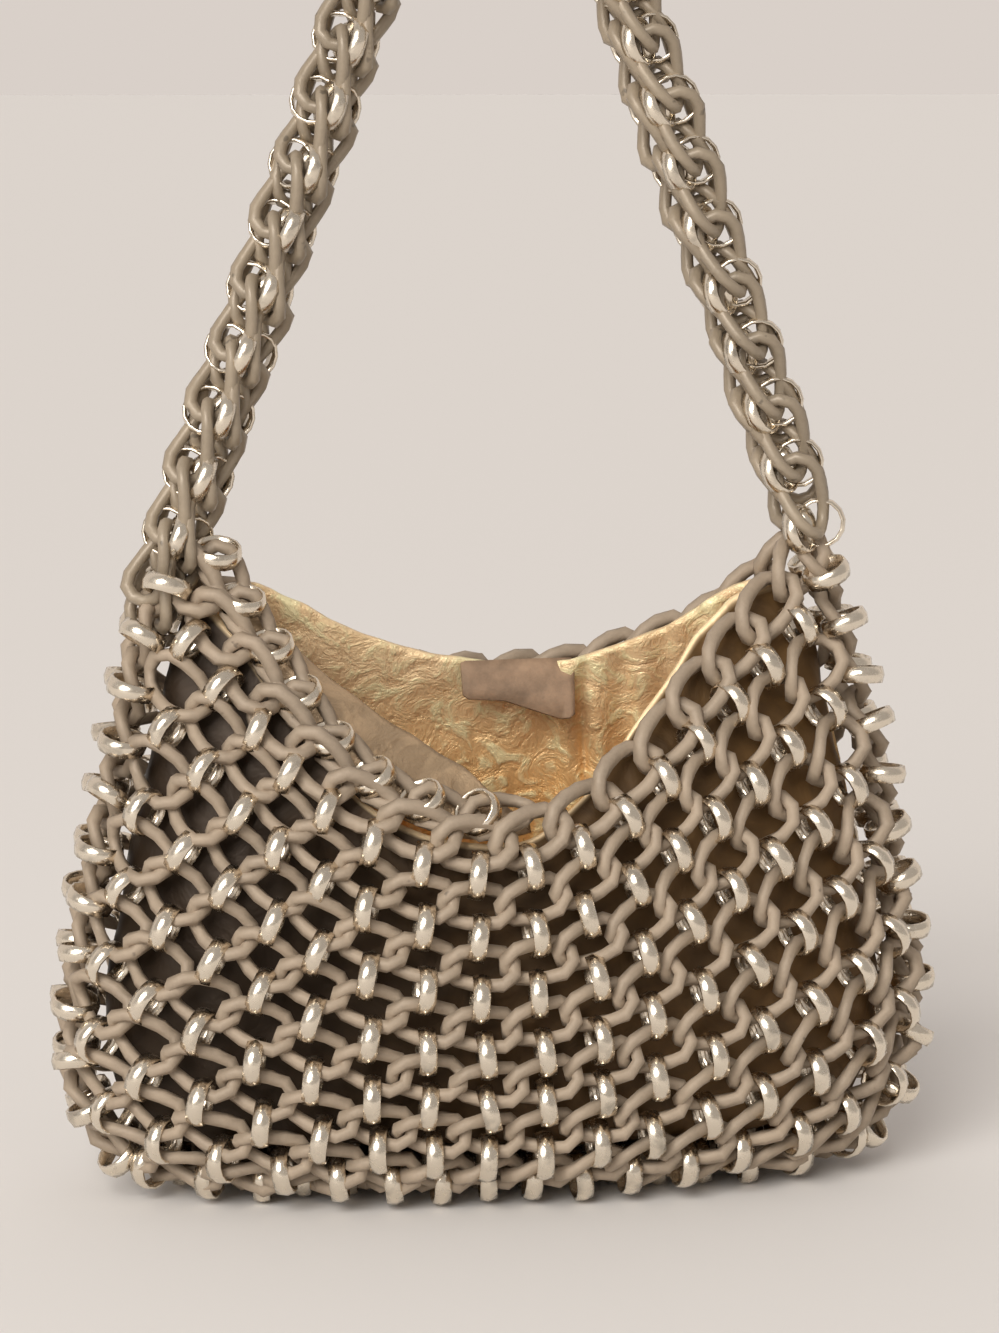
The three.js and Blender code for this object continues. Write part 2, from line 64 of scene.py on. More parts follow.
# Half width and half depth of the mesh wall at each height, from the peaks to the floor, as shares
# of the named sizes. turn is how far the wall has turned to face the floor.
Station = namedtuple("Station", "height half front back turn")
PROFILE = (
    Station(1.0, 0.745, 0.25, 0.25, 0.0),
    Station(0.87, 0.825, 0.44, 0.46, 0.0),
    Station(0.71, 0.885, 0.68, 0.74, 0.0),
    Station(0.57, 0.927, 0.85, 0.88, 0.0),
    Station(0.42, 0.968, 0.95, 0.96, 0.0),
    Station(0.27, 1.0, 1.0, 1.0, 0.05),
    Station(0.16, 0.988, 0.98, 0.98, 0.2),
    Station(0.07, 0.94, 0.9, 0.9, 0.5),
    Station(0.02, 0.87, 0.78, 0.78, 0.8),
    Station(0.0, 0.79, 0.6, 0.6, 1.0),
)
BELLY_PLACE = 0.5
ROUNDNESS = 2.2

# The mouth's edge: x across from the left peak to the right one, and how high it stands, as a
# share of the front's or the back's dip.
Mouth = namedtuple("Mouth", "x front back")
MOUTH = (
    Mouth(-1.0, 1.0, 1.0),
    Mouth(-0.85, 0.7, 0.66),
    Mouth(-0.68, 0.4, 0.42),
    Mouth(-0.5, 0.17, 0.22),
    Mouth(-0.25, 0.03, 0.05),
    Mouth(0.0, 0.0, 0.0),
    Mouth(0.25, 0.12, 0.05),
    Mouth(0.5, 0.37, 0.22),
    Mouth(0.75, 0.68, 0.5),
    Mouth(1.0, 1.0, 1.0),
)

# Folds of the lining: across a side, width and depth as shares of the body, and the stretch from
# top to bottom as shares of the way down.
Fold = namedtuple("Fold", "side across width depth top bottom")
FOLDS = (
    Fold(BACK, 0.625, 0.014, 0.05, -0.1, 0.9),
    Fold(BACK, 0.668, 0.018, 0.06, 0.0, 0.9),
    Fold(BACK, 0.36, 0.13, 0.05, 0.1, 0.8),
    Fold(BACK, 0.74, 0.018, 0.03, -0.1, 0.6),
    Fold(BACK, 0.8, 0.014, 0.022, -0.1, 0.6),
    Fold(BACK, 0.86, 0.018, 0.026, -0.1, 0.6),
    Fold(FRONT, 0.3, 0.12, 0.05, 0.1, 0.9),
    Fold(FRONT, 0.68, 0.08, 0.04, 0.1, 0.8),
)

# Top edge of the lining below the mouth chain, as a share of a link's reach, and the standing
# width of the front facing as a share of its full width.
Edge = namedtuple("Edge", "across front back facing")
EDGES = (
    Edge(0.0, 1.35, 1.35, 0.35),
    Edge(0.12, 0.5, -0.8, 0.46),
    Edge(0.3, 0.3, -1.0, 1.02),
    Edge(0.42, 0.3, -0.9, 0.96),
    Edge(0.5, 0.25, -0.65, 0.6),
    Edge(0.56, 0.2, -0.4, 0.0),
    Edge(0.75, -0.75, -0.3, 0.0),
    Edge(0.9, -0.4, -0.1, 0.0),
    Edge(1.0, 1.35, 1.35, 0.0),
)


class BodySettings(bpy.types.PropertyGroup):
    """Sizes of the mesh body."""

    width: FloatProperty(
        name="Width", description="Width of the mesh wall at the belly", default=213 * MM, unit="LENGTH"
    )
    depth: FloatProperty(
        name="Depth", description="Depth of the mesh wall at the belly", default=80 * MM, unit="LENGTH"
    )
    peak: FloatProperty(
        name="Peak height", description="Height of the mouth at its two peaks",
        default=160 * MM, unit="LENGTH",
    )
    front_dip: FloatProperty(
        name="Front dip", description="How far the front edge dips", default=67 * MM, unit="LENGTH"
    )
    back_dip: FloatProperty(
        name="Back dip", description="How far the back edge dips", default=34 * MM, unit="LENGTH"
    )
    rows: IntProperty(name="Rows", description="Rows of links below the mouth chain on a side", default=8)
    front_links: IntProperty(name="Front links", description="Links in a front row", default=16)
    back_links: IntProperty(name="Back links", description="Links in a back row", default=14)


class ChainSettings(bpy.types.PropertyGroup):
    """Gauge of the links and rings."""

    wire: FloatProperty(
        name="Wire", description="Diameter of a link's wire", default=3.7 * MM, unit="LENGTH"
    )
    mouth_wire: FloatProperty(
        name="Mouth wire", description="Wire of the mouth chain", default=4.1 * MM, unit="LENGTH"
    )
    link_width: FloatProperty(
        name="Link width", description="Width of a link between wire centres",
        default=10.2 * MM, unit="LENGTH",
    )
    ring_outer: FloatProperty(
        name="Ring diameter", description="Outer diameter of a joining ring",
        default=12.6 * MM, unit="LENGTH",
    )
    ring_wall: FloatProperty(
        name="Ring wall", description="Thickness of a ring's band", default=1.2 * MM, unit="LENGTH"
    )
    ring_band: FloatProperty(
        name="Ring band", description="Width of a ring's band", default=4.2 * MM, unit="LENGTH"
    )
    twist: FloatProperty(
        name="Twist", description="Turn of a curb link each way from its middle",
        default=math.radians(42), subtype="ANGLE",
    )


class StrapSettings(bpy.types.PropertyGroup):
    """Sizes of the strap."""

    pitch: FloatProperty(
        name="Pitch", description="Distance between rings along the strap", default=16 * MM, unit="LENGTH"
    )
    wire: FloatProperty(
        name="Wire", description="Diameter of a strap link's wire", default=3.4 * MM, unit="LENGTH"
    )
    link_width: FloatProperty(
        name="Link width", description="Width of a strap link", default=10.6 * MM, unit="LENGTH"
    )
    chain_radius: FloatProperty(
        name="Chain radius", description="From the strap's middle to each of its chains",
        default=4.4 * MM, unit="LENGTH",
    )
    ring_outer: FloatProperty(
        name="Ring diameter", description="Outer diameter of a strap ring", default=13.2 * MM, unit="LENGTH"
    )
    ring_radius: FloatProperty(
        name="Ring radius", description="From the strap's middle to the middle of each ring",
        default=3.3 * MM, unit="LENGTH",
    )
    top_radius: FloatProperty(
        name="Top radius", description="Bend over the hanging point", default=22 * MM, unit="LENGTH"
    )
    turn_left: FloatProperty(
        name="Turn, left", description="Turn of the strap about its own line at its left foot",
        default=math.radians(-90), subtype="ANGLE",
    )
    turn_right: FloatProperty(
        name="Turn, right", description="Turn of the strap about its own line at its right foot",
        default=math.radians(-50), subtype="ANGLE",
    )


class FinishSettings(bpy.types.PropertyGroup):
    """Colours of the finishes."""

    coating: FloatVectorProperty(
        name="Coating", description="Matte coating of the links",
        default=(0.36, 0.285, 0.21), subtype="COLOR",
    )
    strap_coating: FloatVectorProperty(
        name="Strap coating", description="Satin coating of the strap",
        default=(0.315, 0.255, 0.185), subtype="COLOR",
    )
    champagne: FloatVectorProperty(
        name="Champagne", description="Polished metal of the rings",
        default=(0.83, 0.745, 0.62), subtype="COLOR",
    )
    gold: FloatVectorProperty(
        name="Gold", description="Gold foil of the lining", default=(1.0, 0.76, 0.46), subtype="COLOR"
    )
    # Painted shade: the darker gold that the lining takes low in the bag.
    painted_shade_gold: FloatVectorProperty(
        name="Deep gold", description="Gold foil low in the bag", default=(0.92, 0.54, 0.19), subtype="COLOR"
    )
    pewter: FloatVectorProperty(
        name="Pewter", description="Foil of the front facing", default=(0.46, 0.33, 0.205), subtype="COLOR"
    )
    taupe: FloatVectorProperty(
        name="Taupe", description="Leather of the tab", default=(0.235, 0.155, 0.098), subtype="COLOR"
    )


def lerp(low, high, share):
    return low + (high - low) * share


def smooth_share(place, low, high):
    share = min(1.0, max(0.0, (place - low) / (high - low)))
    return share * share * (3 - 2 * share)


def smooth_column(rows, key, column):
    """Reads a column of a table as a smooth curve through its rows."""
    places = [getattr(row, key) for row in rows]
    values = [getattr(row, column) for row in rows]
    last = len(rows) - 1

    def slope(i):
        low, high = max(0, i - 1), min(last, i + 1)
        return (values[high] - values[low]) / (places[high] - places[low])

    def read(place):
        place = min(max(place, places[0]), places[last])
        i = next((k for k in range(last) if places[k + 1] >= place), last - 1)
        span = places[i + 1] - places[i]
        t = (place - places[i]) / span
        return (
            values[i] * (2 * t**3 - 3 * t**2 + 1)
            + slope(i) * span * (t**3 - 2 * t**2 + t)
            + values[i + 1] * (3 * t**2 - 2 * t**3)
            + slope(i + 1) * span * (t**3 - t**2)
        )

    return read


def spline_point(points, place):
    """A point of the smooth curve through all the points, at a share of the way along them."""
    last = len(points) - 1
    i = min(int(place * last), last - 1)
    t = place * last - i
    before, low = points[max(0, i - 1)], points[i]
    high, after = points[i + 1], points[min(last, i + 2)]
    return 0.5 * (
        2 * low
        + (high - before) * t
        + (2 * before - 5 * low + 4 * high - after) * t**2
        + (3 * low - before - 3 * high + after) * t**3
    )


class Wall:
    """The middle surface of the mesh: a front and a back side that meet at the sides and below."""

    WALL_STOPS = 40
    FLOOR_STOPS = 8
    ROW_EASE = 0.12
    SIDE_MARGIN = 0.032
    RING_HALF = 5.4 * MM
    COLUMN_SPREAD = 0.6
    CURVE_STEPS = 200
    HALVINGS = 24

    def __init__(self, body):
        self.body = body
        self.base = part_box("net_front")[0][2] + self.RING_HALF
        self.rise = body.peak - self.RING_HALF
        self.curves = {
            side: [
                Vector((s.half * body.width / 2, getattr(s, name) * body.depth / 2, s.height * self.rise))
                for s in PROFILE
            ]
            for side, name in ((FRONT, "front"), (BACK, "back"))
        }
        self.peak_half = PROFILE[0].half * body.width / 2
        self.mouth = {
            FRONT: smooth_column(MOUTH, "x", "front"),
            BACK: smooth_column(MOUTH, "x", "back"),
        }
        self.columns = {}
        self.rim_shares = {}
        self.belly_shares = {}
        for side in (FRONT, BACK):
            self.rim_shares[side] = self.even_shares(side, lambda share, s=side: self.rim_place(s, share))
            self.belly_shares[side] = self.even_shares(side, lambda share: BELLY_PLACE)

    def profile(self, side, place):
        half, depth, height = spline_point(self.curves[side], place)
        row = place * (len(PROFILE) - 1)
        low = min(int(row), len(PROFILE) - 2)
        turn = lerp(PROFILE[low].turn, PROFILE[low + 1].turn, row - low) * math.pi / 2
        return half, depth, height, math.cos(turn), math.sin(turn)

    def rim_height(self, side, x):
        dip = self.body.front_dip if side == FRONT else self.body.back_dip
        return self.rise - dip * (1 - self.mouth[side](x / self.peak_half))

    def rim_place(self, side, share):
        low, high = 0.0, 1.0
        for _ in range(self.HALVINGS):
            middle = (low + high) / 2
            half, _, height, _, _ = self.profile(side, middle)
            if height > self.rim_height(side, share * half):
                low = middle
            else:
                high = middle
        return (low + high) / 2

    @staticmethod
    def bulge(share):
        return (1 - min(1.0, abs(share)) ** ROUNDNESS) ** (1 / ROUNDNESS)

    def even_shares(self, side, place_of):
        steps = self.CURVE_STEPS
        shares, lengths, last = [], [0.0], None
        for i in range(steps + 1):
            share = -math.cos(math.pi * i / steps)
            half, depth, height, _, _ = self.profile(side, place_of(share))
            point = Vector((share * half, side * depth * self.bulge(share), height))
            if last is not None:
                lengths.append(lengths[-1] + (point - last).length)
            shares.append(share)
            last = point

        def read(across):
            target = across * lengths[-1]
            i = next((k for k in range(1, steps + 1) if lengths[k] >= target - 1e-12), steps)
            span = lengths[i] - lengths[i - 1]
            return lerp(shares[i - 1], shares[i], (target - lengths[i - 1]) / span)

        return read

    def place_stop(self, side, stop, inset):
        share, left, (half, depth, height, outwards, downwards) = stop
        inwards = inset * outwards
        return Vector((
            share * (half - inwards),
            side * (depth - inwards) * self.bulge(share) * left,
            self.base + height + inset * downwards,
        ))

    def column(self, side, across):
        """The stops of a column of the wall, from the mouth to the middle of the underside."""
        key = (side, round(across, 6))
        if key in self.columns:
            return self.columns[key]
        at_rim, at_belly = self.rim_shares[side](across), self.belly_shares[side](across)
        start = self.rim_place(side, at_rim)
        stops = []
        for i in range(self.WALL_STOPS + 1):
            way = i / self.WALL_STOPS
            share = lerp(at_rim, at_belly, smooth_share(way, 0.0, self.COLUMN_SPREAD))
            stops.append((share, 1.0, self.profile(side, lerp(start, 1.0, way))))
        share, _, profile = stops[-1]
        for i in range(1, self.FLOOR_STOPS + 1):
            stops.append((share, 1 - i / self.FLOOR_STOPS, profile))
        lengths = [0.0]
        for low, high in zip(stops, stops[1:]):
            step = (self.place_stop(side, high, 0) - self.place_stop(side, low, 0)).length
            lengths.append(lengths[-1] + step)
        self.columns[key] = (stops, lengths)
        return self.columns[key]

    def length(self, side, across):
        return self.column(side, across)[1][-1]

    def point(self, side, across, down, inset=0.0):
        """A point of the wall; above the mouth it runs on straight."""
        stops, lengths = self.column(side, min(1.0, max(0.0, across)))
        i = next((k for k in range(1, len(lengths)) if lengths[k] >= down), len(lengths) - 1)
        span = lengths[i] - lengths[i - 1]
        share = min(1.0, (down - lengths[i - 1]) / span) if span > 0 else 0.0
        low, high = (self.place_stop(side, stops[k], inset) for k in (i - 1, i))
        return low + (high - low) * share

    def row_point(self, side, across, row, inset=0.0):
        """A point of the net: row 0 is the mouth chain, and the sides meet half a row below the last.

        Rows lie closer together towards the floor, by ROW_EASE.
        """
        across = min(1.0, max(0.0, across))
        way = row / (self.body.rows + 0.5)
        way *= 1 + self.ROW_EASE * (1 - way)
        return self.point(side, across, self.length(side, across) * way, inset)

    def edge_frame(self, side, across, down, inset, reach):
        """Axes along the edge, up and out of the wall, at a place given by its depth below the mouth."""
        ahead = self.point(side, across + reach, down, inset)
        along = ((ahead - self.point(side, across - reach, down, inset)) * -side).normalized()
        rise = self.point(side, across, down - MM, inset) - self.point(side, across, down + MM, inset)
        out = along.cross(rise).normalized()
        return self.point(side, across, down, inset), along, out.cross(along).normalized(), out

    def column_place(self, i, columns):
        """How far across a side a column of the net lies, between the two side chains."""
        return self.SIDE_MARGIN + (1 - 2 * self.SIDE_MARGIN) * i / columns

    def row_frame(self, side, across, row, spacing):
        """Axes along the row, up across it and out of the wall, at a point of the net."""
        centre = self.row_point(side, across, row)
        reach = spacing / 4
        along = self.row_point(side, across + reach, row) - self.row_point(side, across - reach, row)
        along = (along * -side).normalized()
        above = self.row_point(side, across, max(0.0, row - 0.5))
        below = self.row_point(side, across, min(row + 0.5, self.body.rows + 0.5))
        out = along.cross(above - below).normalized()
        return centre, along, out.cross(along).normalized(), out, above - below


def new_mesh_object(name, bm, finish, smooth=True):
    """Makes an object at the origin from a bmesh that is in place, with its finish."""
    bmesh.ops.recalc_face_normals(bm, faces=bm.faces)
    for face in bm.faces:
        face.smooth = smooth
    mesh = bpy.data.meshes.new(name)
    bm.to_mesh(mesh)
    bm.free()
    mesh.materials.append(finish)
    piece = bpy.data.objects.new(name, mesh)
    bpy.context.collection.objects.link(piece)
    return piece


def sort_faces(bm):
    """Puts the faces in the order of their vertices, because a merge leaves them in any order."""
    bm.verts.index_update()
    count = len(bm.verts)

    def rank(face):
        first, second, third = sorted(vert.index for vert in face.verts)[:3]
        return (first * count + second) * count + third

    bm.faces.sort(key=rank)


def spun_section(section, steps):
    """Spins a closed section, given as points right of the Z axis, once round it."""
    bm = bmesh.new()
    corners = [bm.verts.new(point) for point in section]
    edges = [bm.edges.new((a, b)) for a, b in zip(corners, corners[1:] + corners[:1])]
    bmesh.ops.spin(
        bm, geom=corners + edges, cent=(0, 0, 0), axis=(0, 0, 1), dvec=(0, 0, 0),
        angle=2 * math.pi, steps=steps, use_merge=True, use_duplicate=False,
    )
    bmesh.ops.remove_doubles(bm, verts=bm.verts, dist=1e-6)
    sort_faces(bm)
    bmesh.ops.rotate(bm, verts=bm.verts, cent=(0, 0, 0), matrix=Matrix.Rotation(math.pi / steps, 3, "Z"))
    return bm


LINK_STEPS = 12
LINK_SIDES = 6
LONG_LINK_STEPS = 16
LONG_LINK_SIDES = 7
RING_STEPS = 14
# Share of a ring's wall that stands at its band's edges, below the dome.
RING_SHOULDER = 0.6
# Share of a link's half length past which its twist stops growing.
TWIST_REACH = 1.15


def link_blank(wire, width, steps=LINK_STEPS, sides=LINK_SIDES):
    """A round loop of wire in the XY plane, ready to be drawn out into a link."""
    circle = [
        (width / 2 + wire / 2 * math.cos(a), 0, wire / 2 * math.sin(a))
        for a in (2 * math.pi * (k + 0.5) / sides for k in range(sides))
    ]
    return spun_section(circle, steps)


def ring_blank(outer, wall, band):
    """A flat ring with a domed outside, its axis along X."""
    inner = outer / 2 - wall
    section = (
        (inner, 0, -band / 2),
        (inner + wall * RING_SHOULDER, 0, -band / 2),
        (outer / 2, 0, 0),
        (inner + wall * RING_SHOULDER, 0, band / 2),
        (inner, 0, band / 2),
    )
    bm = spun_section(section, RING_STEPS)
    bmesh.ops.rotate(bm, verts=bm.verts, cent=(0, 0, 0), matrix=Matrix.Rotation(math.pi / 2, 3, "Y"))
    return bm


def draw_out(blank, width, length, wide, twist):
    """Points of a curb link: the blank's wire laid evenly round a long loop, and twisted about X.

    length and wide are the loop's, to the middle of the wire.
    """
    bend = wide / 2
    straight = max(0.0, length - wide)
    half_way = straight + math.pi * bend
    points = []
    for vert in blank.verts:
        x, y, z = vert.co
        offset = math.hypot(x, y) - width / 2
        way = abs(math.atan2(y, x)) / math.pi * half_way
        quarter = math.pi * bend / 2
        if way < quarter:
            angle, shift = way / bend, straight / 2
        elif way < quarter + straight:
            angle, shift = math.pi / 2, straight / 2 - (way - quarter)
        else:
            angle, shift = (way - straight) / bend, -straight / 2
        x = shift + (bend + offset) * math.cos(angle)
        reach = (bend + offset) * math.sin(angle)
        share = max(-TWIST_REACH, min(TWIST_REACH, 2 * x / length))
        y = math.copysign(reach, y)
        turn = -twist * share
        cos, sin = math.cos(turn), math.sin(turn)
        points.append(Vector((x, y * cos - z * sin, y * sin + z * cos)))
    return points


class Chain:
    """Gathers many copies of a blank, each with its own points, into one mesh."""

    def __init__(self, blank):
        self.blank = blank
        self.points = [vert.co.copy() for vert in blank.verts]
        self.template = bpy.data.meshes.new("blank")
        blank.to_mesh(self.template)
        self.bm = bmesh.new()

    def add(self, points, matrix):
        start = len(self.bm.verts)
        self.bm.from_mesh(self.template)
        self.bm.verts.ensure_lookup_table()
        for i, point in enumerate(points):
            self.bm.verts[start + i].co = matrix @ point

    def finish(self, name, finish, slot, *nodes):
        """Makes one piece of the chain, in a named finish, and seats it."""
        bpy.data.meshes.remove(self.template)
        self.blank.free()
        piece = new_mesh_object(name, self.bm, bpy.data.materials[finish])
        return seated(piece, slot, *nodes)


def axes_matrix(centre, x, y, z):
    matrix = Matrix((x, y, z)).transposed().to_4x4()
    matrix.translation = centre
    return matrix


def jitter(rng, degrees, shift):
    """A small turn and shift, so that no two links lie alike."""
    turn = Matrix.Identity(4)
    for axis in "XYZ":
        turn = turn @ Matrix.Rotation(math.radians(rng.gauss(0, degrees)), 4, axis)
    turn.translation = Vector([rng.gauss(0, shift) for _ in range(3)])
    return turn


def shader(material, name="Principled BSDF"):
    return material.node_tree.nodes[name]


def new_material(name, color, metallic, roughness):
    material = bpy.data.materials.new(name)
    material.use_nodes = True
    bsdf = shader(material)
    bsdf.inputs["Base Color"].default_value = (*color, 1)
    bsdf.inputs["Metallic"].default_value = metallic
    bsdf.inputs["Roughness"].default_value = roughness
    return material


def add_node(material, kind, **inputs):
    """Adds a shader node and sets its sockets by name."""
    node = material.node_tree.nodes.new(kind)
    for key, value in inputs.items():
        node.inputs[key.replace("_", " ")].default_value = value
    return node


def wire(material, source, target):
    material.node_tree.links.new(source, target)


def object_noise(material, scale, detail=4.0, roughness=0.55, distortion=0.0):
    """Noise on object coordinates. Scale is in repeats a metre."""
    place = add_node(material, "ShaderNodeTexCoord")
    texture = add_node(
        material, "ShaderNodeTexNoise",
        Scale=scale, Detail=detail, Roughness=roughness, Distortion=distortion,
    )
    wire(material, place.outputs["Object"], texture.inputs["Vector"])
    return texture.outputs["Fac"]


def ramp(material, source, stops):
    node = add_node(material, "ShaderNodeValToRGB")
    elements = node.color_ramp.elements
    while len(elements) < len(stops):
        elements.new(0.5)
    for element, (place, value) in zip(elements, stops):
        element.position = place
        element.color = (*value, 1) if hasattr(value, "__len__") else (value, value, value, 1)
    wire(material, source, node.inputs["Fac"])
    return node.outputs["Color"]


def mixed(material, factor, low, high, blend="MIX"):
    node = material.node_tree.nodes.new("ShaderNodeMix")
    node.data_type = "RGBA"
    node.blend_type = blend
    for socket, value in ((node.inputs[0], factor), (node.inputs[6], low), (node.inputs[7], high)):
        if isinstance(value, bpy.types.NodeSocket):
            wire(material, value, socket)
        elif hasattr(value, "__len__"):
            socket.default_value = (*value, 1)
        else:
            socket.default_value = value
    return node.outputs[2]


def bumped(material, heights):
    """Stacks bumps from (source, strength, distance) and gives them to the shader."""
    normal = None
    for source, strength, distance in heights:
        node = add_node(material, "ShaderNodeBump", Strength=strength, Distance=distance)
        wire(material, source, node.inputs["Height"])
        if normal is not None:
            wire(material, normal, node.inputs["Normal"])
        normal = node.outputs["Normal"]
    wire(material, normal, shader(material).inputs["Normal"])


def shaded(color, factor):
    return tuple(min(1.0, part * factor) for part in color)


def blotched(material, source, stops, under, over):
    """Lays one tone over another where a noise, read through a ramp, is high."""
    return mixed(material, ramp(material, source, stops), under, over)


def coating_finish(name, color, roughness, chips):
    """Thin coating on metal wire: mottled, dusty in its pits, with a few dark chips."""
    material = new_material(name, color, 0.12, roughness)
    cloud = object_noise(material, 55.0, 5.0, 0.6)
    speck = object_noise(material, 900.0, 3.0, 0.6)
    patch = object_noise(material, 240.0, 2.0, 0.5)
    tone = blotched(material, cloud, ((0.3, 0.0), (0.7, 1.0)), shaded(color, 0.86), shaded(color, 1.12))
    tone = blotched(material, speck, ((0.35, 0.0), (0.75, 0.35)), tone, shaded(color, 1.25))
    tone = blotched(material, patch, ((chips, 0.0), (chips + 0.05, 0.75)), tone, shaded(color, 0.4))
    wire(material, tone, shader(material).inputs["Base Color"])
    rough = ramp(material, cloud, ((0.2, roughness - 0.08), (0.8, roughness + 0.1)))
    wire(material, rough, shader(material).inputs["Roughness"])
    bumped(material, ((speck, 0.25, 0.0002), (cloud, 0.2, 0.0006)))
    return material


def champagne_finish(color):
    """Polished ring metal with fine scratches and dull spots."""
    material = new_material("champagne_metal", color, 1.0, 0.2)
    scratch = object_noise(material, 420.0, 6.0, 0.7, 1.5)
    spot = object_noise(material, 150.0, 3.0, 0.5)
    tone = blotched(material, spot, ((0.58, 0.0), (0.75, 1.0)), color, shaded(color, 0.62))
    wire(material, tone, shader(material).inputs["Base Color"])
    rough = ramp(material, scratch, ((0.35, 0.14), (0.7, 0.34)))
    wire(material, rough, shader(material).inputs["Roughness"])
    bumped(material, ((scratch, 0.12, 0.0002),))
    return material


def foil_leather_finish(name, color, painted_low_shade, metallic, roughness, crease):
    """Metal foil on soft leather, grained, creased and worn; painted shade low in the bag, painted crinkle
    highlights.
    """
    material = new_material(name, color, metallic, roughness)
    place = add_node(material, "ShaderNodeTexCoord")
    grain = add_node(material, "ShaderNodeTexVoronoi", Scale=950.0)
    grain.feature = "DISTANCE_TO_EDGE"
    wire(material, place.outputs["Object"], grain.inputs["Vector"])
    cloud = object_noise(material, 38.0, 4.0, 0.6, 0.6)
    crinkle = object_noise(material, crease, 6.0, 0.62, 1.2)
    split = add_node(material, "ShaderNodeSeparateXYZ")
    wire(material, place.outputs["Object"], split.inputs[0])
    # Painted shade: towards the bottom of the bag the foil turns to the darker low tone.
    height = add_node(material, "ShaderNodeMapRange", From_Min=-0.246, From_Max=-0.204)
    wire(material, split.outputs["Z"], height.inputs["Value"])
    tone = mixed(material, height.outputs["Result"], painted_low_shade, color)
    tone = blotched(material, cloud, ((0.3, 0.35), (0.66, 0.0)), tone, shaded(painted_low_shade, 0.62))
    # Painted highlight: where the crinkles rise, the foil is laid in a paler tone, as if catching the light.
    tone = blotched(material, crinkle, ((0.5, 0.0), (0.62, 0.6)), tone, shaded(color, 1.3))
    wire(material, tone, shader(material).inputs["Base Color"])
    rough = ramp(material, crinkle, ((0.3, roughness - 0.1), (0.7, roughness + 0.16)))
    wire(material, rough, shader(material).inputs["Roughness"])
    fine = object_noise(material, crease * 3.2, 4.0, 0.6, 2.0)
    bumped(material, (
        (crinkle, 0.8, 0.0022), (cloud, 0.4, 0.003),
        (fine, 0.5, 0.0006), (grain.outputs["Distance"], 0.12, 0.0003),
    ))
    return material


def leather_outside_and_shade_finish(edge_color):
    """Outside of the lining: foil on its folded edge, then dark leather deepened by painted shade, darker to
    the left and warmer to the right.
    """
    material = new_material("foil_reverse", edge_color, 0.4, 0.5)
    place = add_node(material, "ShaderNodeTexCoord")
    split = add_node(material, "ShaderNodeSeparateXYZ")
    wire(material, place.outputs["Object"], split.inputs[0])
    # Painted shade: the outside of the lining grows darker to the left and lighter and warmer to the right.
    sideways = add_node(material, "ShaderNodeMapRange", From_Min=-0.06, From_Max=0.09)
    wire(material, split.outputs["X"], sideways.inputs["Value"])
    cloud = object_noise(material, 60.0, 4.0, 0.6, 0.6)
    # The leather's dark reverse, deepened by painted shade where it lies in the net's shadow.
    leather = mixed(material, sideways.outputs["Result"], (0.04, 0.023, 0.011), (0.22, 0.12, 0.04))
    leather = blotched(material, cloud, ((0.35, 0.0), (0.7, 0.6)), leather, (0.03, 0.018, 0.008))
    down = material.node_tree.nodes.new("ShaderNodeAttribute")
    down.attribute_name = "way_down"
    fold = ramp(material, down.outputs["Fac"], ((0.004, 0.0), (0.014, 1.0)))
    tone = mixed(material, fold, edge_color, leather)
    wire(material, tone, shader(material).inputs["Base Color"])
    bumped(material, ((cloud, 0.4, 0.002),))
    return material


def tab_leather_finish(color):
    """Dull leather, mottled paler and darker."""
    material = new_material("bare_leather", color, 0.0, 0.72)
    cloud = object_noise(material, 160.0, 5.0, 0.6)
    grain = object_noise(material, 1500.0, 3.0, 0.6)
    tone = blotched(material, cloud, ((0.3, 0.0), (0.7, 1.0)), shaded(color, 0.75), shaded(color, 1.5))
    wire(material, tone, shader(material).inputs["Base Color"])
    bumped(material, ((grain, 0.35, 0.0002), (cloud, 0.4, 0.0008)))
    return material


def seated(piece, slot, *nodes):
    """Every piece rides on the one body and may replace nodes; slot is not used."""
    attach(piece, "root")
    if nodes:
        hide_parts(*nodes)
    return piece


def wall_of(context):
    return Wall(context.scene.purse_body)


# A net link's least and greatest width as shares of the named one, what the rings take of a row's
# height, how far a link falls short of its pitch, and its least straight part.
LINK_NARROW, LINK_BROAD = 0.84, 1.3
RING_REACH = 6.2 * MM
LINK_SLACK = 0.3 * MM
LEAST_STRAIGHT = 0.5 * MM
# How far pieces lie out of place: degrees of turn, and shift.
NET_LINK_PLAY = (3.5, 0.35 * MM)
NET_RING_PLAY = (5.0, 0.3 * MM)


def net_links(wall, chain, side, columns, rows, seed):
    """Curb links of the net, row by row, as one chain mesh."""
    rng = random.Random(seed)
    blank = link_blank(chain.wire, chain.link_width)
    gathered = Chain(blank)
    for row in rows:
        for i in range(columns):
            across = wall.column_place(i + 0.5, columns)
            centre, along, up, out, rise = wall.row_frame(side, across, row, 1 / columns)
            left = wall.row_point(side, wall.column_place(i, columns), row)
            pitch = (wall.row_point(side, wall.column_place(i + 1, columns), row) - left).length
            row_gap = abs(rise.dot(up))
            wide = max(LINK_NARROW * chain.link_width, row_gap - RING_REACH)
            wide = min(LINK_BROAD * chain.link_width, wide)
            length = max(pitch + chain.wire - LINK_SLACK, wide + LEAST_STRAIGHT)
            points = draw_out(blank, chain.link_width, length, wide, chain.twist)
            place = axes_matrix(centre, along, up, out) @ jitter(rng, *NET_LINK_PLAY)
            gathered.add(points, place)
    return gathered


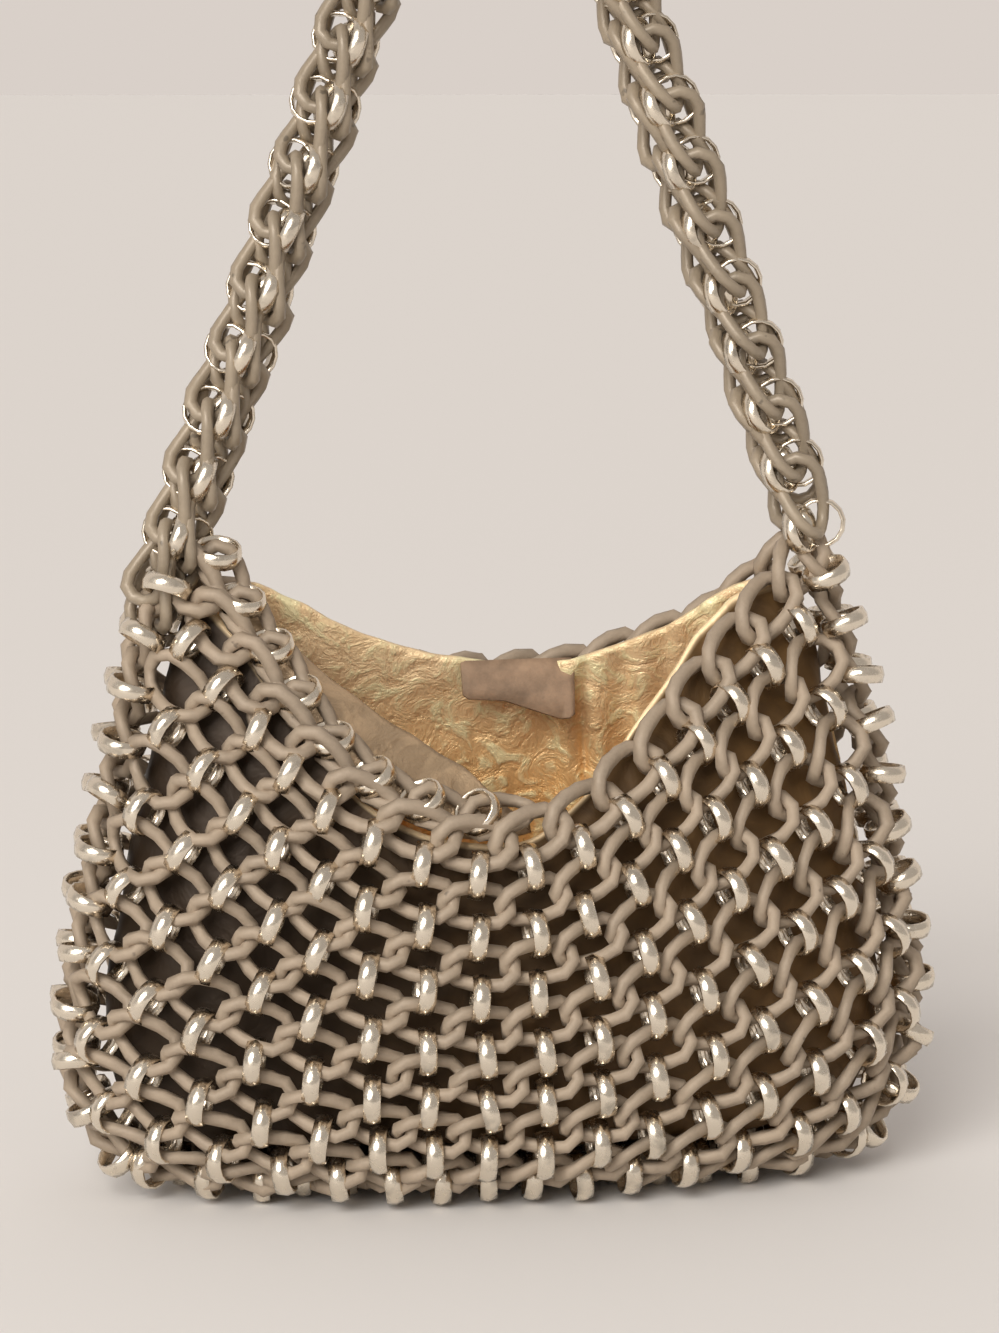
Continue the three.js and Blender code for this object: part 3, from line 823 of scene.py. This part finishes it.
def net_rings(wall, chain, side, columns, rows, seed):
    """Rings that join each row of links to the next."""
    rng = random.Random(seed)
    gathered = Chain(ring_blank(chain.ring_outer, chain.ring_wall, chain.ring_band))
    for row in rows:
        for i in range(columns):
            across = wall.column_place(i + 0.5, columns)
            centre, along, up, out, rise = wall.row_frame(side, across, row + 0.5, 1 / columns)
            stand = (up + rise.normalized()).normalized()
            out = (out - stand * out.dot(stand)).normalized()
            axis = stand.cross(out).normalized()
            place = axes_matrix(centre, axis, stand, out) @ jitter(rng, *NET_RING_PLAY)
            gathered.add(gathered.points, place @ Matrix.Rotation(rng.uniform(0, math.tau), 4, "X"))
    return gathered


class PURSE_OT_net_front(bpy.types.Operator):
    """Make the front of the chain net: links and rings"""

    bl_idname = "purse.net_front"
    bl_label = "Net front"

    def execute(self, context):
        body, chain = context.scene.purse_body, context.scene.purse_chain
        wall = wall_of(context)
        links = net_links(wall, chain, FRONT, body.front_links, range(1, body.rows + 1), 11)
        links.finish("net_links_front", "coated_links", "matte_links", "net_front")
        rings = net_rings(wall, chain, FRONT, body.front_links, range(body.rows + 1), 12)
        rings.finish("net_rings_front", "champagne_metal", "band_rings")
        return {"FINISHED"}


class PURSE_OT_net_back(bpy.types.Operator):
    """Make the back of the chain net: links and rings"""

    bl_idname = "purse.net_back"
    bl_label = "Net back"

    def execute(self, context):
        body, chain = context.scene.purse_body, context.scene.purse_chain
        wall = wall_of(context)
        links = net_links(wall, chain, BACK, body.back_links, range(1, body.rows + 1), 21)
        links.finish("net_links_back", "coated_links", "matte_links", "net_back")
        rings = net_rings(wall, chain, BACK, body.back_links, range(body.rows), 22)
        rings.finish("net_rings_back", "champagne_metal", "band_rings")
        return {"FINISHED"}


class PURSE_OT_mouth_chain(bpy.types.Operator):
    """Make the heavier chain round the mouth"""

    bl_idname = "purse.mouth_chain"
    bl_label = "Mouth chain"

    BACK_DROP = 2.6 * MM
    OVERLAP = 0.6 * MM
    LINK_WIDE = 1.08
    PLAY = (3.0, 0.25 * MM)

    def execute(self, context):
        body, chain = context.scene.purse_body, context.scene.purse_chain
        wall = wall_of(context)
        rng = random.Random(31)
        blank = link_blank(chain.mouth_wire, chain.link_width)
        gathered = Chain(blank)
        for side, columns in ((FRONT, body.front_links), (BACK, body.back_links)):
            for i in range(columns):
                across = (i + 0.5) / columns
                drop = self.BACK_DROP * (1 - (2 * across - 1) ** 4) if side == BACK else 0.0
                centre, along, up, out = wall.edge_frame(side, across, drop, 0.0, 0.25 / columns)
                left = wall.point(side, i / columns, drop)
                pitch = (wall.point(side, (i + 1) / columns, drop) - left).length
                length = pitch + chain.mouth_wire + self.OVERLAP
                wide = chain.link_width * self.LINK_WIDE
                points = draw_out(blank, chain.link_width, length, wide, chain.twist)
                place = axes_matrix(centre, along, up, out) @ jitter(rng, *self.PLAY)
                gathered.add(points, place)
        gathered.finish("mouth_links", "coated_links", "matte_links", "mouth_chain")
        return {"FINISHED"}


class PURSE_OT_rolled_row(bpy.types.Operator):
    """Make the row of the net that rolls inwards behind the mouth chain, at the front left"""

    bl_idname = "purse.rolled_row"
    bl_label = "Rolled row"

    RISE = 6.2 * MM
    INSET = 4.6 * MM
    COUNT = 8
    LEAN = math.radians(24)
    RING_TURN = math.radians(42)
    RING_LEAN = math.radians(25)
    LINK_WIDE = 0.86
    RING_BACK = 0.45
    RING_UP = 0.8 * MM
    LINK_PLAY = (3.0, 0.3 * MM)
    RING_PLAY = (6.0, 0.3 * MM)

    def execute(self, context):
        body, chain = context.scene.purse_body, context.scene.purse_chain
        wall = wall_of(context)
        rng = random.Random(33)
        blank = link_blank(chain.wire, chain.link_width)
        links = Chain(blank)
        rings = Chain(ring_blank(chain.ring_outer, chain.ring_wall, chain.ring_band))
        step = 1 / body.front_links
        for i in range(self.COUNT):
            across = (i + 1.0) * step
            centre, along, up, out = wall.edge_frame(FRONT, across, -self.RISE, self.INSET, step / 4)
            left = wall.point(FRONT, across - step / 2, -self.RISE, self.INSET)
            pitch = (wall.point(FRONT, across + step / 2, -self.RISE, self.INSET) - left).length
            lean = Matrix.Rotation(-self.LEAN, 4, "X")
            wide = chain.link_width * self.LINK_WIDE
            points = draw_out(blank, chain.link_width, pitch + chain.wire, wide, chain.twist)
            place = axes_matrix(centre, along, up, out) @ lean @ jitter(rng, *self.LINK_PLAY)
            links.add(points, place)
            seat = centre - along * pitch * self.RING_BACK + up * self.RING_UP
            turn = Matrix.Rotation(self.RING_TURN, 4, "Y") @ Matrix.Rotation(-self.RING_LEAN, 4, "Z")
            place = axes_matrix(seat, along, up, out) @ turn @ jitter(rng, *self.RING_PLAY)
            rings.add(rings.points, place)
        links.finish("rolled_links", "coated_links", "matte_links")
        rings.finish("rolled_rings", "champagne_metal", "band_rings")
        return {"FINISHED"}


class PURSE_OT_side_chains(bpy.types.Operator):
    """Make the chains that run down the sides, ringed to the front and the back"""

    bl_idname = "purse.side_chains"
    bl_label = "Side chains"

    PITCH = 13.8 * MM
    RING_ACROSS = 0.72
    RING_OUT = 0.6 * MM
    LINK_PLAY = (4.0, 0.4 * MM)
    RING_PLAY = (9.0, 0.4 * MM)

    def execute(self, context):
        chain = context.scene.purse_chain
        wall = wall_of(context)
        rng = random.Random(51)
        blank = link_blank(chain.wire, chain.link_width)
        links = Chain(blank)
        rings = Chain(ring_blank(chain.ring_outer, chain.ring_wall, chain.ring_band))
        for end, outwards in ((0.0, Vector((-1, 0, 0))), (1.0, Vector((1, 0, 0)))):
            length = wall.length(FRONT, end) - chain.ring_outer / 2
            count = round(length / self.PITCH)
            pitch = length / count
            for i in range(count):
                down = pitch * (i + 0.5)
                centre = wall.point(FRONT, end, down)
                along = wall.point(FRONT, end, down - pitch / 2)
                along -= wall.point(FRONT, end, down + pitch / 2)
                along.normalize()
                across = Vector((0, 1, 0))
                out = along.cross(across).normalized()
                if out.dot(outwards) < 0:
                    across, out = -across, -out
                points = draw_out(blank, chain.link_width, pitch + chain.wire, chain.link_width, chain.twist)
                place = axes_matrix(centre, along, across, out)
                links.add(points, place @ jitter(rng, *self.LINK_PLAY))
                for strand in (FRONT, BACK):
                    sideways = Vector((0, strand, 0)) * chain.link_width * self.RING_ACROSS
                    seat = centre + sideways + out * self.RING_OUT
                    ring = axes_matrix(seat, along, across, out) @ jitter(rng, *self.RING_PLAY)
                    rings.add(rings.points, ring)
        links.finish("side_links", "coated_links", "matte_links")
        rings.finish("side_rings", "champagne_metal", "band_rings")
        return {"FINISHED"}


class StrapRoute:
    """The strap's line: up from the left peak, round its hanging point and down to the right one."""

    STEPS = 600
    SOLID_HALF = 9.7 * MM
    LIFT = 2.3 * MM

    def __init__(self, wall, strap):
        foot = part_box("strap")[0][2]
        half = wall.peak_half
        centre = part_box("strap")[1][2] - self.SOLID_HALF + self.LIFT - strap.top_radius
        run = math.hypot(half, centre - foot)
        arc_end = math.pi - math.acos(strap.top_radius / run) - math.atan2(half, centre - foot)
        start = Vector((-half, 0, foot))
        tangent = Vector((-math.sin(arc_end), 0, math.cos(arc_end))) * strap.top_radius
        tangent.z += centre
        points = []
        straight = (tangent - start).length
        arc = 2 * arc_end * strap.top_radius
        self.length = 2 * straight + arc
        for i in range(self.STEPS + 1):
            s = self.length * i / self.STEPS
            if s < straight:
                points.append(start.lerp(tangent, s / straight))
            elif s > self.length - straight:
                back = start.lerp(tangent, (self.length - s) / straight)
                points.append(Vector((-back.x, 0, back.z)))
            else:
                angle = -arc_end + (s - straight) / strap.top_radius
                points.append(Vector((math.sin(angle), 0, math.cos(angle))) * strap.top_radius)
                points[-1].z += centre
        self.points = points

    def frame_at(self, s, turned):
        """Axes down the strap, across it and out of it, at a length along it and a turn about it."""
        place = min(max(s / self.length, 0.0), 1.0) * self.STEPS
        i = min(int(place), self.STEPS - 1)
        low, high = self.points[i], self.points[i + 1]
        up = (high - low).normalized()
        beyond = up * (s - min(max(s, 0.0), self.length))
        centre = low.lerp(high, place - i) + beyond
        inner = Vector((0, 1, 0)).cross(up).normalized()
        out = inner * math.cos(turned) + Vector((0, 1, 0)) * math.sin(turned)
        return centre, -up, out.cross(-up).normalized(), out


class PURSE_OT_strap(bpy.types.Operator):
    """Make the strap: three curb chains round a tube, held together by rings between them"""

    bl_idname = "purse.strap"
    bl_label = "Strap"

    SLACK = 0.9 * MM
    RING_BAND = 0.9
    CHAINS = 3
    STAGGER = (0.25, 0.5, 0.0)
    LINK_PLAY = (2.5, 0.2 * MM)
    RING_PLAY = (4.0, 0.2 * MM)

    def execute(self, context):
        strap, chain = context.scene.purse_strap, context.scene.purse_chain
        route = StrapRoute(wall_of(context), strap)
        rng = random.Random(41)
        count = round(route.length / strap.pitch)
        pitch = route.length / count
        blank = link_blank(strap.wire, strap.link_width, LONG_LINK_STEPS, LONG_LINK_SIDES)
        length = pitch + strap.wire + self.SLACK
        points = draw_out(blank, strap.link_width, length, strap.link_width, chain.twist)
        links = Chain(blank)
        band = chain.ring_band * self.RING_BAND
        rings = Chain(ring_blank(strap.ring_outer, chain.ring_wall, band))
        for k in range(count + 1):
            for j in range(self.CHAINS):
                around = math.tau * j / self.CHAINS
                s = (k - 0.5 - self.STAGGER[j]) * pitch
                turned = lerp(strap.turn_left, strap.turn_right, s / route.length)
                centre, down, across, out = route.frame_at(s, turned + around + math.pi / self.CHAINS)
                place = axes_matrix(centre + out * strap.chain_radius, down, across, out)
                links.add(points, place @ jitter(rng, *self.LINK_PLAY))
                turned = lerp(strap.turn_left, strap.turn_right, k / count)
                centre, down, across, out = route.frame_at(k * pitch, turned + around)
                place = axes_matrix(centre + out * strap.ring_radius, across, -down, out)
                rings.add(rings.points, place @ jitter(rng, *self.RING_PLAY))
        links.finish("strap_links", "coated_strap", "strap_links", "strap")
        rings.finish("strap_rings", "strap_metal", "band_rings")
        return {"FINISHED"}


LINING_WALL = 1.4 * MM
LINING_INSET = 7.2 * MM
LINK_REACH = 6.95 * MM
# Stretches over which a fold starts and ends, as shares of the way down.
FOLD_START, FOLD_END = 0.15, 0.3
# Crumples of the leather, as scale and height, and the height that they all stand on.
CRUMPLES = ((0.9, 1.3 * MM), (2.6, 0.7 * MM), (7.0, 0.35 * MM))
CRUMPLE_BASE = 0.6 * MM
EDGE_WAVE = 1.1 * MM


def fold_depth(side, across, way, depth):
    total = 0.0
    for fold in FOLDS:
        if fold.side != side:
            continue
        sideways = math.exp(-(((across - fold.across) / fold.width) ** 2))
        along = smooth_share(way, fold.top, fold.top + FOLD_START)
        along *= 1 - smooth_share(way, fold.bottom - FOLD_END, fold.bottom)
        total += fold.depth * depth * sideways * along
    return total


def lining_place(wall, side, across, way, edges):
    """How far down the wall and how far in a point of the lining lies, before it is crumpled."""
    down = lerp(LINK_REACH * edges[side](across), wall.length(side, across), way)
    return down, LINING_INSET + fold_depth(side, across, way, wall.body.depth)


def smooth_lining_point(wall, side, across, way, edges):
    """A point of the lining's inside before it is crumpled."""
    down, inset = lining_place(wall, side, across, way, edges)
    return wall.point(side, across, down, inset + LINING_WALL)


def lining_point(wall, side, across, way, edges):
    """A point of the lining's outside, crumpled and with a wave along its edge."""
    down, inset = lining_place(wall, side, across, way, edges)
    place = Vector((across * 9, way * 6, side * 3))
    crumple = sum(noise.noise(place * scale) * height for scale, height in CRUMPLES)
    wave = noise.noise(Vector((across * 16, side, 0))) * EDGE_WAVE * (1 - way) ** 8
    return wall.point(side, across, down + wave, inset + max(0.0, crumple + CRUMPLE_BASE))


def thicken(piece, wall, offset=0):
    """Gives a leather sheet its thickness."""
    modifier = piece.modifiers.new("leather", "SOLIDIFY")
    modifier.thickness = wall
    modifier.offset = offset
    return modifier


def edge_curves():
    return {FRONT: smooth_column(EDGES, "across", "front"), BACK: smooth_column(EDGES, "across", "back")}


class PURSE_OT_lining(bpy.types.Operator):
    """Make the gold leather pouch inside the net"""

    bl_idname = "purse.lining"
    bl_label = "Lining"

    COLUMNS = 110
    ROWS = 34
    ROW_EASE = 1.3
    MERGE = 0.05 * MM

    def execute(self, context):
        wall = wall_of(context)
        edges = edge_curves()
        bm = bmesh.new()
        depth = bm.verts.layers.float.new("way_down")
        for side in (FRONT, BACK):
            made = bmesh.ops.create_grid(bm, x_segments=self.COLUMNS, y_segments=self.ROWS, size=0.5)
            for vert in made["verts"]:
                across, way = vert.co.x + 0.5, (vert.co.y + 0.5) ** self.ROW_EASE
                vert[depth] = way
                own_side = side if 0 < across < 1 and way < 1 else FRONT
                vert.co = lining_point(wall, own_side, across, way, edges)
        bmesh.ops.remove_doubles(bm, verts=bm.verts, dist=self.MERGE)
        bmesh.ops.recalc_face_normals(bm, faces=bm.faces)
        piece = new_mesh_object("lining_pouch", bm, bpy.data.materials["foil_reverse"])
        piece.data.materials.append(bpy.data.materials["gold_foil"])
        sheet = thicken(piece, LINING_WALL, -1)
        sheet.material_offset = 1
        sheet.material_offset_rim = 1
        seated(piece, "gold_leather", "lining")
        return {"FINISHED"}


class PURSE_OT_facing(bpy.types.Operator):
    """Make the taupe foil facing that leans in from the front edge"""

    bl_idname = "purse.facing"
    bl_label = "Front facing"

    COLUMNS = 120
    ROWS = 16
    START, END = 0.06, 0.54
    WIDTH = 21 * MM
    CREASE = 0.42
    CREASE_ROW = 6
    LEAN_BELOW = math.radians(14)
    LEAN_ABOVE = math.radians(46)
    SEAT = 1.0 * MM
    SCALLOP = 1.3 * MM
    WALL = 1.2 * MM
    PUFF = 0.8 * MM
    RIPPLE = 1.2 * MM

    def foot_frame(self, wall, across, edges):
        """The foot of the facing on the lining's edge, with axes up, into the mouth and along the edge."""
        step = 0.02
        before, foot, after, below = (
            smooth_lining_point(wall, FRONT, across + shift, way, edges)
            for shift, way in ((-step, 0.0), (0.0, 0.0), (step, 0.0), (0.0, 0.1))
        )
        along = (after - before).normalized()
        up = foot - below
        up = (up - along * up.dot(along)).normalized()
        into = Vector((0, 1, 0))
        into = (into - along * into.dot(along)).normalized()
        return foot + up * self.SEAT, up, into, along

    def execute(self, context):
        wall = wall_of(context)
        edges = edge_curves()
        share = smooth_column(EDGES, "across", "facing")
        bm = bmesh.new()
        made = bmesh.ops.create_grid(bm, x_segments=self.COLUMNS, y_segments=self.ROWS, size=0.5)
        pitch = 1 / context.scene.purse_body.front_links
        for vert in made["verts"]:
            across = lerp(self.START, self.END, vert.co.x + 0.5)
            row = round((vert.co.y + 0.5) * self.ROWS)
            if row <= self.CREASE_ROW:
                below, above = self.CREASE * row / self.CREASE_ROW, 0.0
            else:
                below = self.CREASE
                above = (1 - self.CREASE) * (row - self.CREASE_ROW) / (self.ROWS - self.CREASE_ROW)
            foot, up, into, along = self.foot_frame(wall, across, edges)
            width = self.WIDTH * share(across)
            lower = up * math.cos(self.LEAN_BELOW) + into * math.sin(self.LEAN_BELOW)
            upper = up * math.cos(self.LEAN_ABOVE) + into * math.sin(self.LEAN_ABOVE)
            swell = abs(math.sin(math.pi * across / pitch)) * below / self.CREASE * (1 - above)
            puff = noise.noise(Vector((across * 14, above * 1.6, 0))) * self.PUFF * min(1.0, above * 4)
            ripple = noise.noise(Vector((across * 12, 4, 0))) * above * self.RIPPLE
            vert.co = foot + (lower * below + upper * above) * width - into * swell * self.SCALLOP
            vert.co += upper.cross(along) * puff + up * ripple
        piece = new_mesh_object("mouth_facing", bm, bpy.data.materials["pewter_foil"])
        thicken(piece, self.WALL)
        seated(piece, "pewter_leather", "front_facing")
        return {"FINISHED"}


class PURSE_OT_tab(bpy.types.Operator):
    """Make the small bare leather tab inside the back edge"""

    bl_idname = "purse.tab"
    bl_label = "Leather tab"

    SHIFT = Vector((2.2, -1.3, 2.2)) * MM
    WALL = 1.6 * MM
    HEM = 0.6 * MM
    LEAN = 2.2 * MM
    CURL = 0.5 * MM
    CURL_REPEATS = 90
    OUTLINE = ((-0.5, -0.03), (-0.46, 0.0), (0.47, 0.02), (0.5, -0.03), (0.49, -0.93), (0.45, -1.0),
               (0.36, -1.0), (-0.12, -0.68), (-0.44, -0.64), (-0.49, -0.56))

    def execute(self, context):
        low, high = (Vector(corner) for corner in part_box("leather_tab"))
        width, height = high.x - low.x, high.z - low.z
        middle = (low + high) / 2
        low, high, middle = (corner + self.SHIFT for corner in (low, high, middle))
        bm = bmesh.new()
        corners = [
            bm.verts.new((middle.x + x * width, middle.y, high.z + z * height)) for x, z in self.OUTLINE
        ]
        face = bm.faces.new(corners)
        bmesh.ops.inset_region(bm, faces=[face], thickness=self.HEM)
        bmesh.ops.triangulate(bm, faces=[f for f in bm.faces if len(f.verts) > 4])
        bmesh.ops.subdivide_edges(bm, edges=bm.edges, cuts=2, use_grid_fill=True)
        for vert in bm.verts:
            share = (high.z - vert.co.z) / height
            curl = noise.noise(vert.co * self.CURL_REPEATS) * self.CURL
            vert.co.y += lerp(self.LEAN, -self.LEAN, share) + curl
        piece = new_mesh_object("tab_patch", bm, bpy.data.materials["bare_leather"])
        thicken(piece, self.WALL)
        seated(piece, "tab_leather", "leather_tab")
        return {"FINISHED"}


class PURSE_OT_finishes(bpy.types.Operator):
    """Make the finishes that the pieces wear"""

    bl_idname = "purse.finishes"
    bl_label = "Finishes"

    def execute(self, context):
        colors = context.scene.purse_finish
        coating_finish("coated_links", tuple(colors.coating), 0.62, 0.74)
        coating_finish("coated_strap", tuple(colors.strap_coating), 0.4, 0.68)
        champagne_finish(tuple(colors.champagne))
        polished = bpy.data.materials["champagne_metal"].copy()
        polished.name = "strap_metal"
        # The second colour of each foil is painted shade, a darker copy laid low in the bag.
        foil_leather_finish("gold_foil", tuple(colors.gold), tuple(colors.painted_shade_gold), 0.35, 0.34, 120.0)
        foil_leather_finish("pewter_foil", tuple(colors.pewter), shaded(colors.pewter, 0.8), 0.5, 0.36, 60.0)
        leather_outside_and_shade_finish(tuple(colors.gold))
        tab_leather_finish(tuple(colors.taupe))
        return {"FINISHED"}


def add_light(name, size, energy, place, aim, color):
    """A square lamp that faces a point."""
    light = bpy.data.lights.new(name, "AREA")
    light.size = size
    light.energy = energy
    light.color = color
    lamp = bpy.data.objects.new(name, light)
    lamp.location = place
    lamp.rotation_euler = (Vector(aim) - Vector(place)).to_track_quat("-Z", "Y").to_euler()
    bpy.context.collection.objects.link(lamp)


def add_sun(name, strength, angle, place, color):
    """A soft sun that shines from a place towards the origin, evenly over the whole floor."""
    light = bpy.data.lights.new(name, "SUN")
    light.energy = strength
    light.angle = angle
    light.color = color
    lamp = bpy.data.objects.new(name, light)
    lamp.rotation_euler = Vector(place).to_track_quat("Z", "Y").to_euler()
    bpy.context.collection.objects.link(lamp)


class PURSE_OT_stage(bpy.types.Operator):
    """Set the floor, the studio light and the camera"""

    bl_idname = "purse.stage"
    bl_label = "Stage"

    AZIMUTH = math.radians(-7.8)
    ELEVATION = math.radians(9.0)
    DISTANCE = 0.95
    LENS = 102
    AIM = Vector((0.001, 0.0, -0.2026))
    FLOOR_REACH = 40.0
    BACKDROP = (0.694, 0.631, 0.584)
    ROOM = (0.44, 0.41, 0.385)
    FLOOR_PAPER = (0.752, 0.733, 0.716)
    FLOOR_DROP = 1.2 * MM
    LIGHT_AIM = (0, 0, -0.24)

    def execute(self, context):
        floor_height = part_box("net_front")[0][2] - self.FLOOR_DROP
        bm = bmesh.new()
        bmesh.ops.create_grid(bm, x_segments=1, y_segments=1, size=self.FLOOR_REACH)
        bmesh.ops.translate(bm, verts=bm.verts, vec=(0, 0, floor_height))
        paper = new_material("floor_paper", self.FLOOR_PAPER, 0.0, 0.95)
        floor = new_mesh_object("floor", bm, paper)
        world = bpy.data.worlds.new("studio")
        world.use_nodes = True
        place = add_node(world, "ShaderNodeTexCoord")
        split = add_node(world, "ShaderNodeSeparateXYZ")
        wire(world, place.outputs["Generated"], split.inputs[0])
        light = ramp(world, split.outputs["Y"], ((0.0, self.ROOM), (0.3, self.BACKDROP)))
        wire(world, light, world.node_tree.nodes["Background"].inputs["Color"])
        context.scene.world = world
        add_sun(
            "key", strength=2.25, angle=math.radians(34), place=(-0.6, -1.1, 0.85), color=(1.0, 0.965, 0.92)
        )
        add_light(
            "strip", size=0.5, energy=2.2, place=(-0.75, -0.75, 0.1), aim=self.LIGHT_AIM,
            color=(1.0, 0.98, 0.95),
        )
        camera = bpy.data.objects.new("camera", bpy.data.cameras.new("camera"))
        back = Vector((
            math.sin(self.AZIMUTH) * math.cos(self.ELEVATION),
            -math.cos(self.AZIMUTH) * math.cos(self.ELEVATION),
            math.sin(self.ELEVATION),
        ))
        camera.location = self.AIM + back * self.DISTANCE
        camera.rotation_euler = (-back).to_track_quat("-Z", "Y").to_euler()
        camera.data.lens = self.LENS
        context.collection.objects.link(camera)
        context.scene.camera = camera
        context.scene.view_settings.view_transform = "Standard"
        return {"FINISHED"}


class PURSE_PT_panel(bpy.types.Panel):
    """Lists the pieces of the purse"""

    bl_idname = "PURSE_PT_panel"
    bl_label = "Metal Mesh Purse"
    bl_space_type = "VIEW_3D"
    bl_region_type = "UI"
    bl_category = "Purse"

    def draw(self, context):
        layout = self.layout
        for name in STEPS:
            layout.operator("purse." + name)
        for group in ("purse_body", "purse_chain", "purse_strap", "purse_finish"):
            settings = getattr(context.scene, group)
            for key in settings.bl_rna.properties.keys():
                if key not in ("rna_type", "name"):
                    layout.prop(settings, key)


STEPS = (
    "finishes", "stage", "net_front", "net_back", "side_chains", "mouth_chain", "rolled_row",
    "strap", "lining", "facing", "tab",
)
GROUPS = (
    ("purse_body", BodySettings),
    ("purse_chain", ChainSettings),
    ("purse_strap", StrapSettings),
    ("purse_finish", FinishSettings),
)
CLASSES = (
    PURSE_OT_finishes,
    PURSE_OT_stage,
    PURSE_OT_net_front,
    PURSE_OT_net_back,
    PURSE_OT_side_chains,
    PURSE_OT_mouth_chain,
    PURSE_OT_rolled_row,
    PURSE_OT_strap,
    PURSE_OT_lining,
    PURSE_OT_facing,
    PURSE_OT_tab,
    PURSE_PT_panel,
)


def register():
    for name, group in GROUPS:
        bpy.utils.register_class(group)
        setattr(bpy.types.Scene, name, PointerProperty(type=group))
    for kind in CLASSES:
        bpy.utils.register_class(kind)


def unregister():
    for kind in reversed(CLASSES):
        bpy.utils.unregister_class(kind)
    for name, group in reversed(GROUPS):
        delattr(bpy.types.Scene, name)
        bpy.utils.unregister_class(group)


def main():
    register()
    for name in STEPS:
        getattr(bpy.ops.purse, name)()


if __name__ == "__main__":
    main()
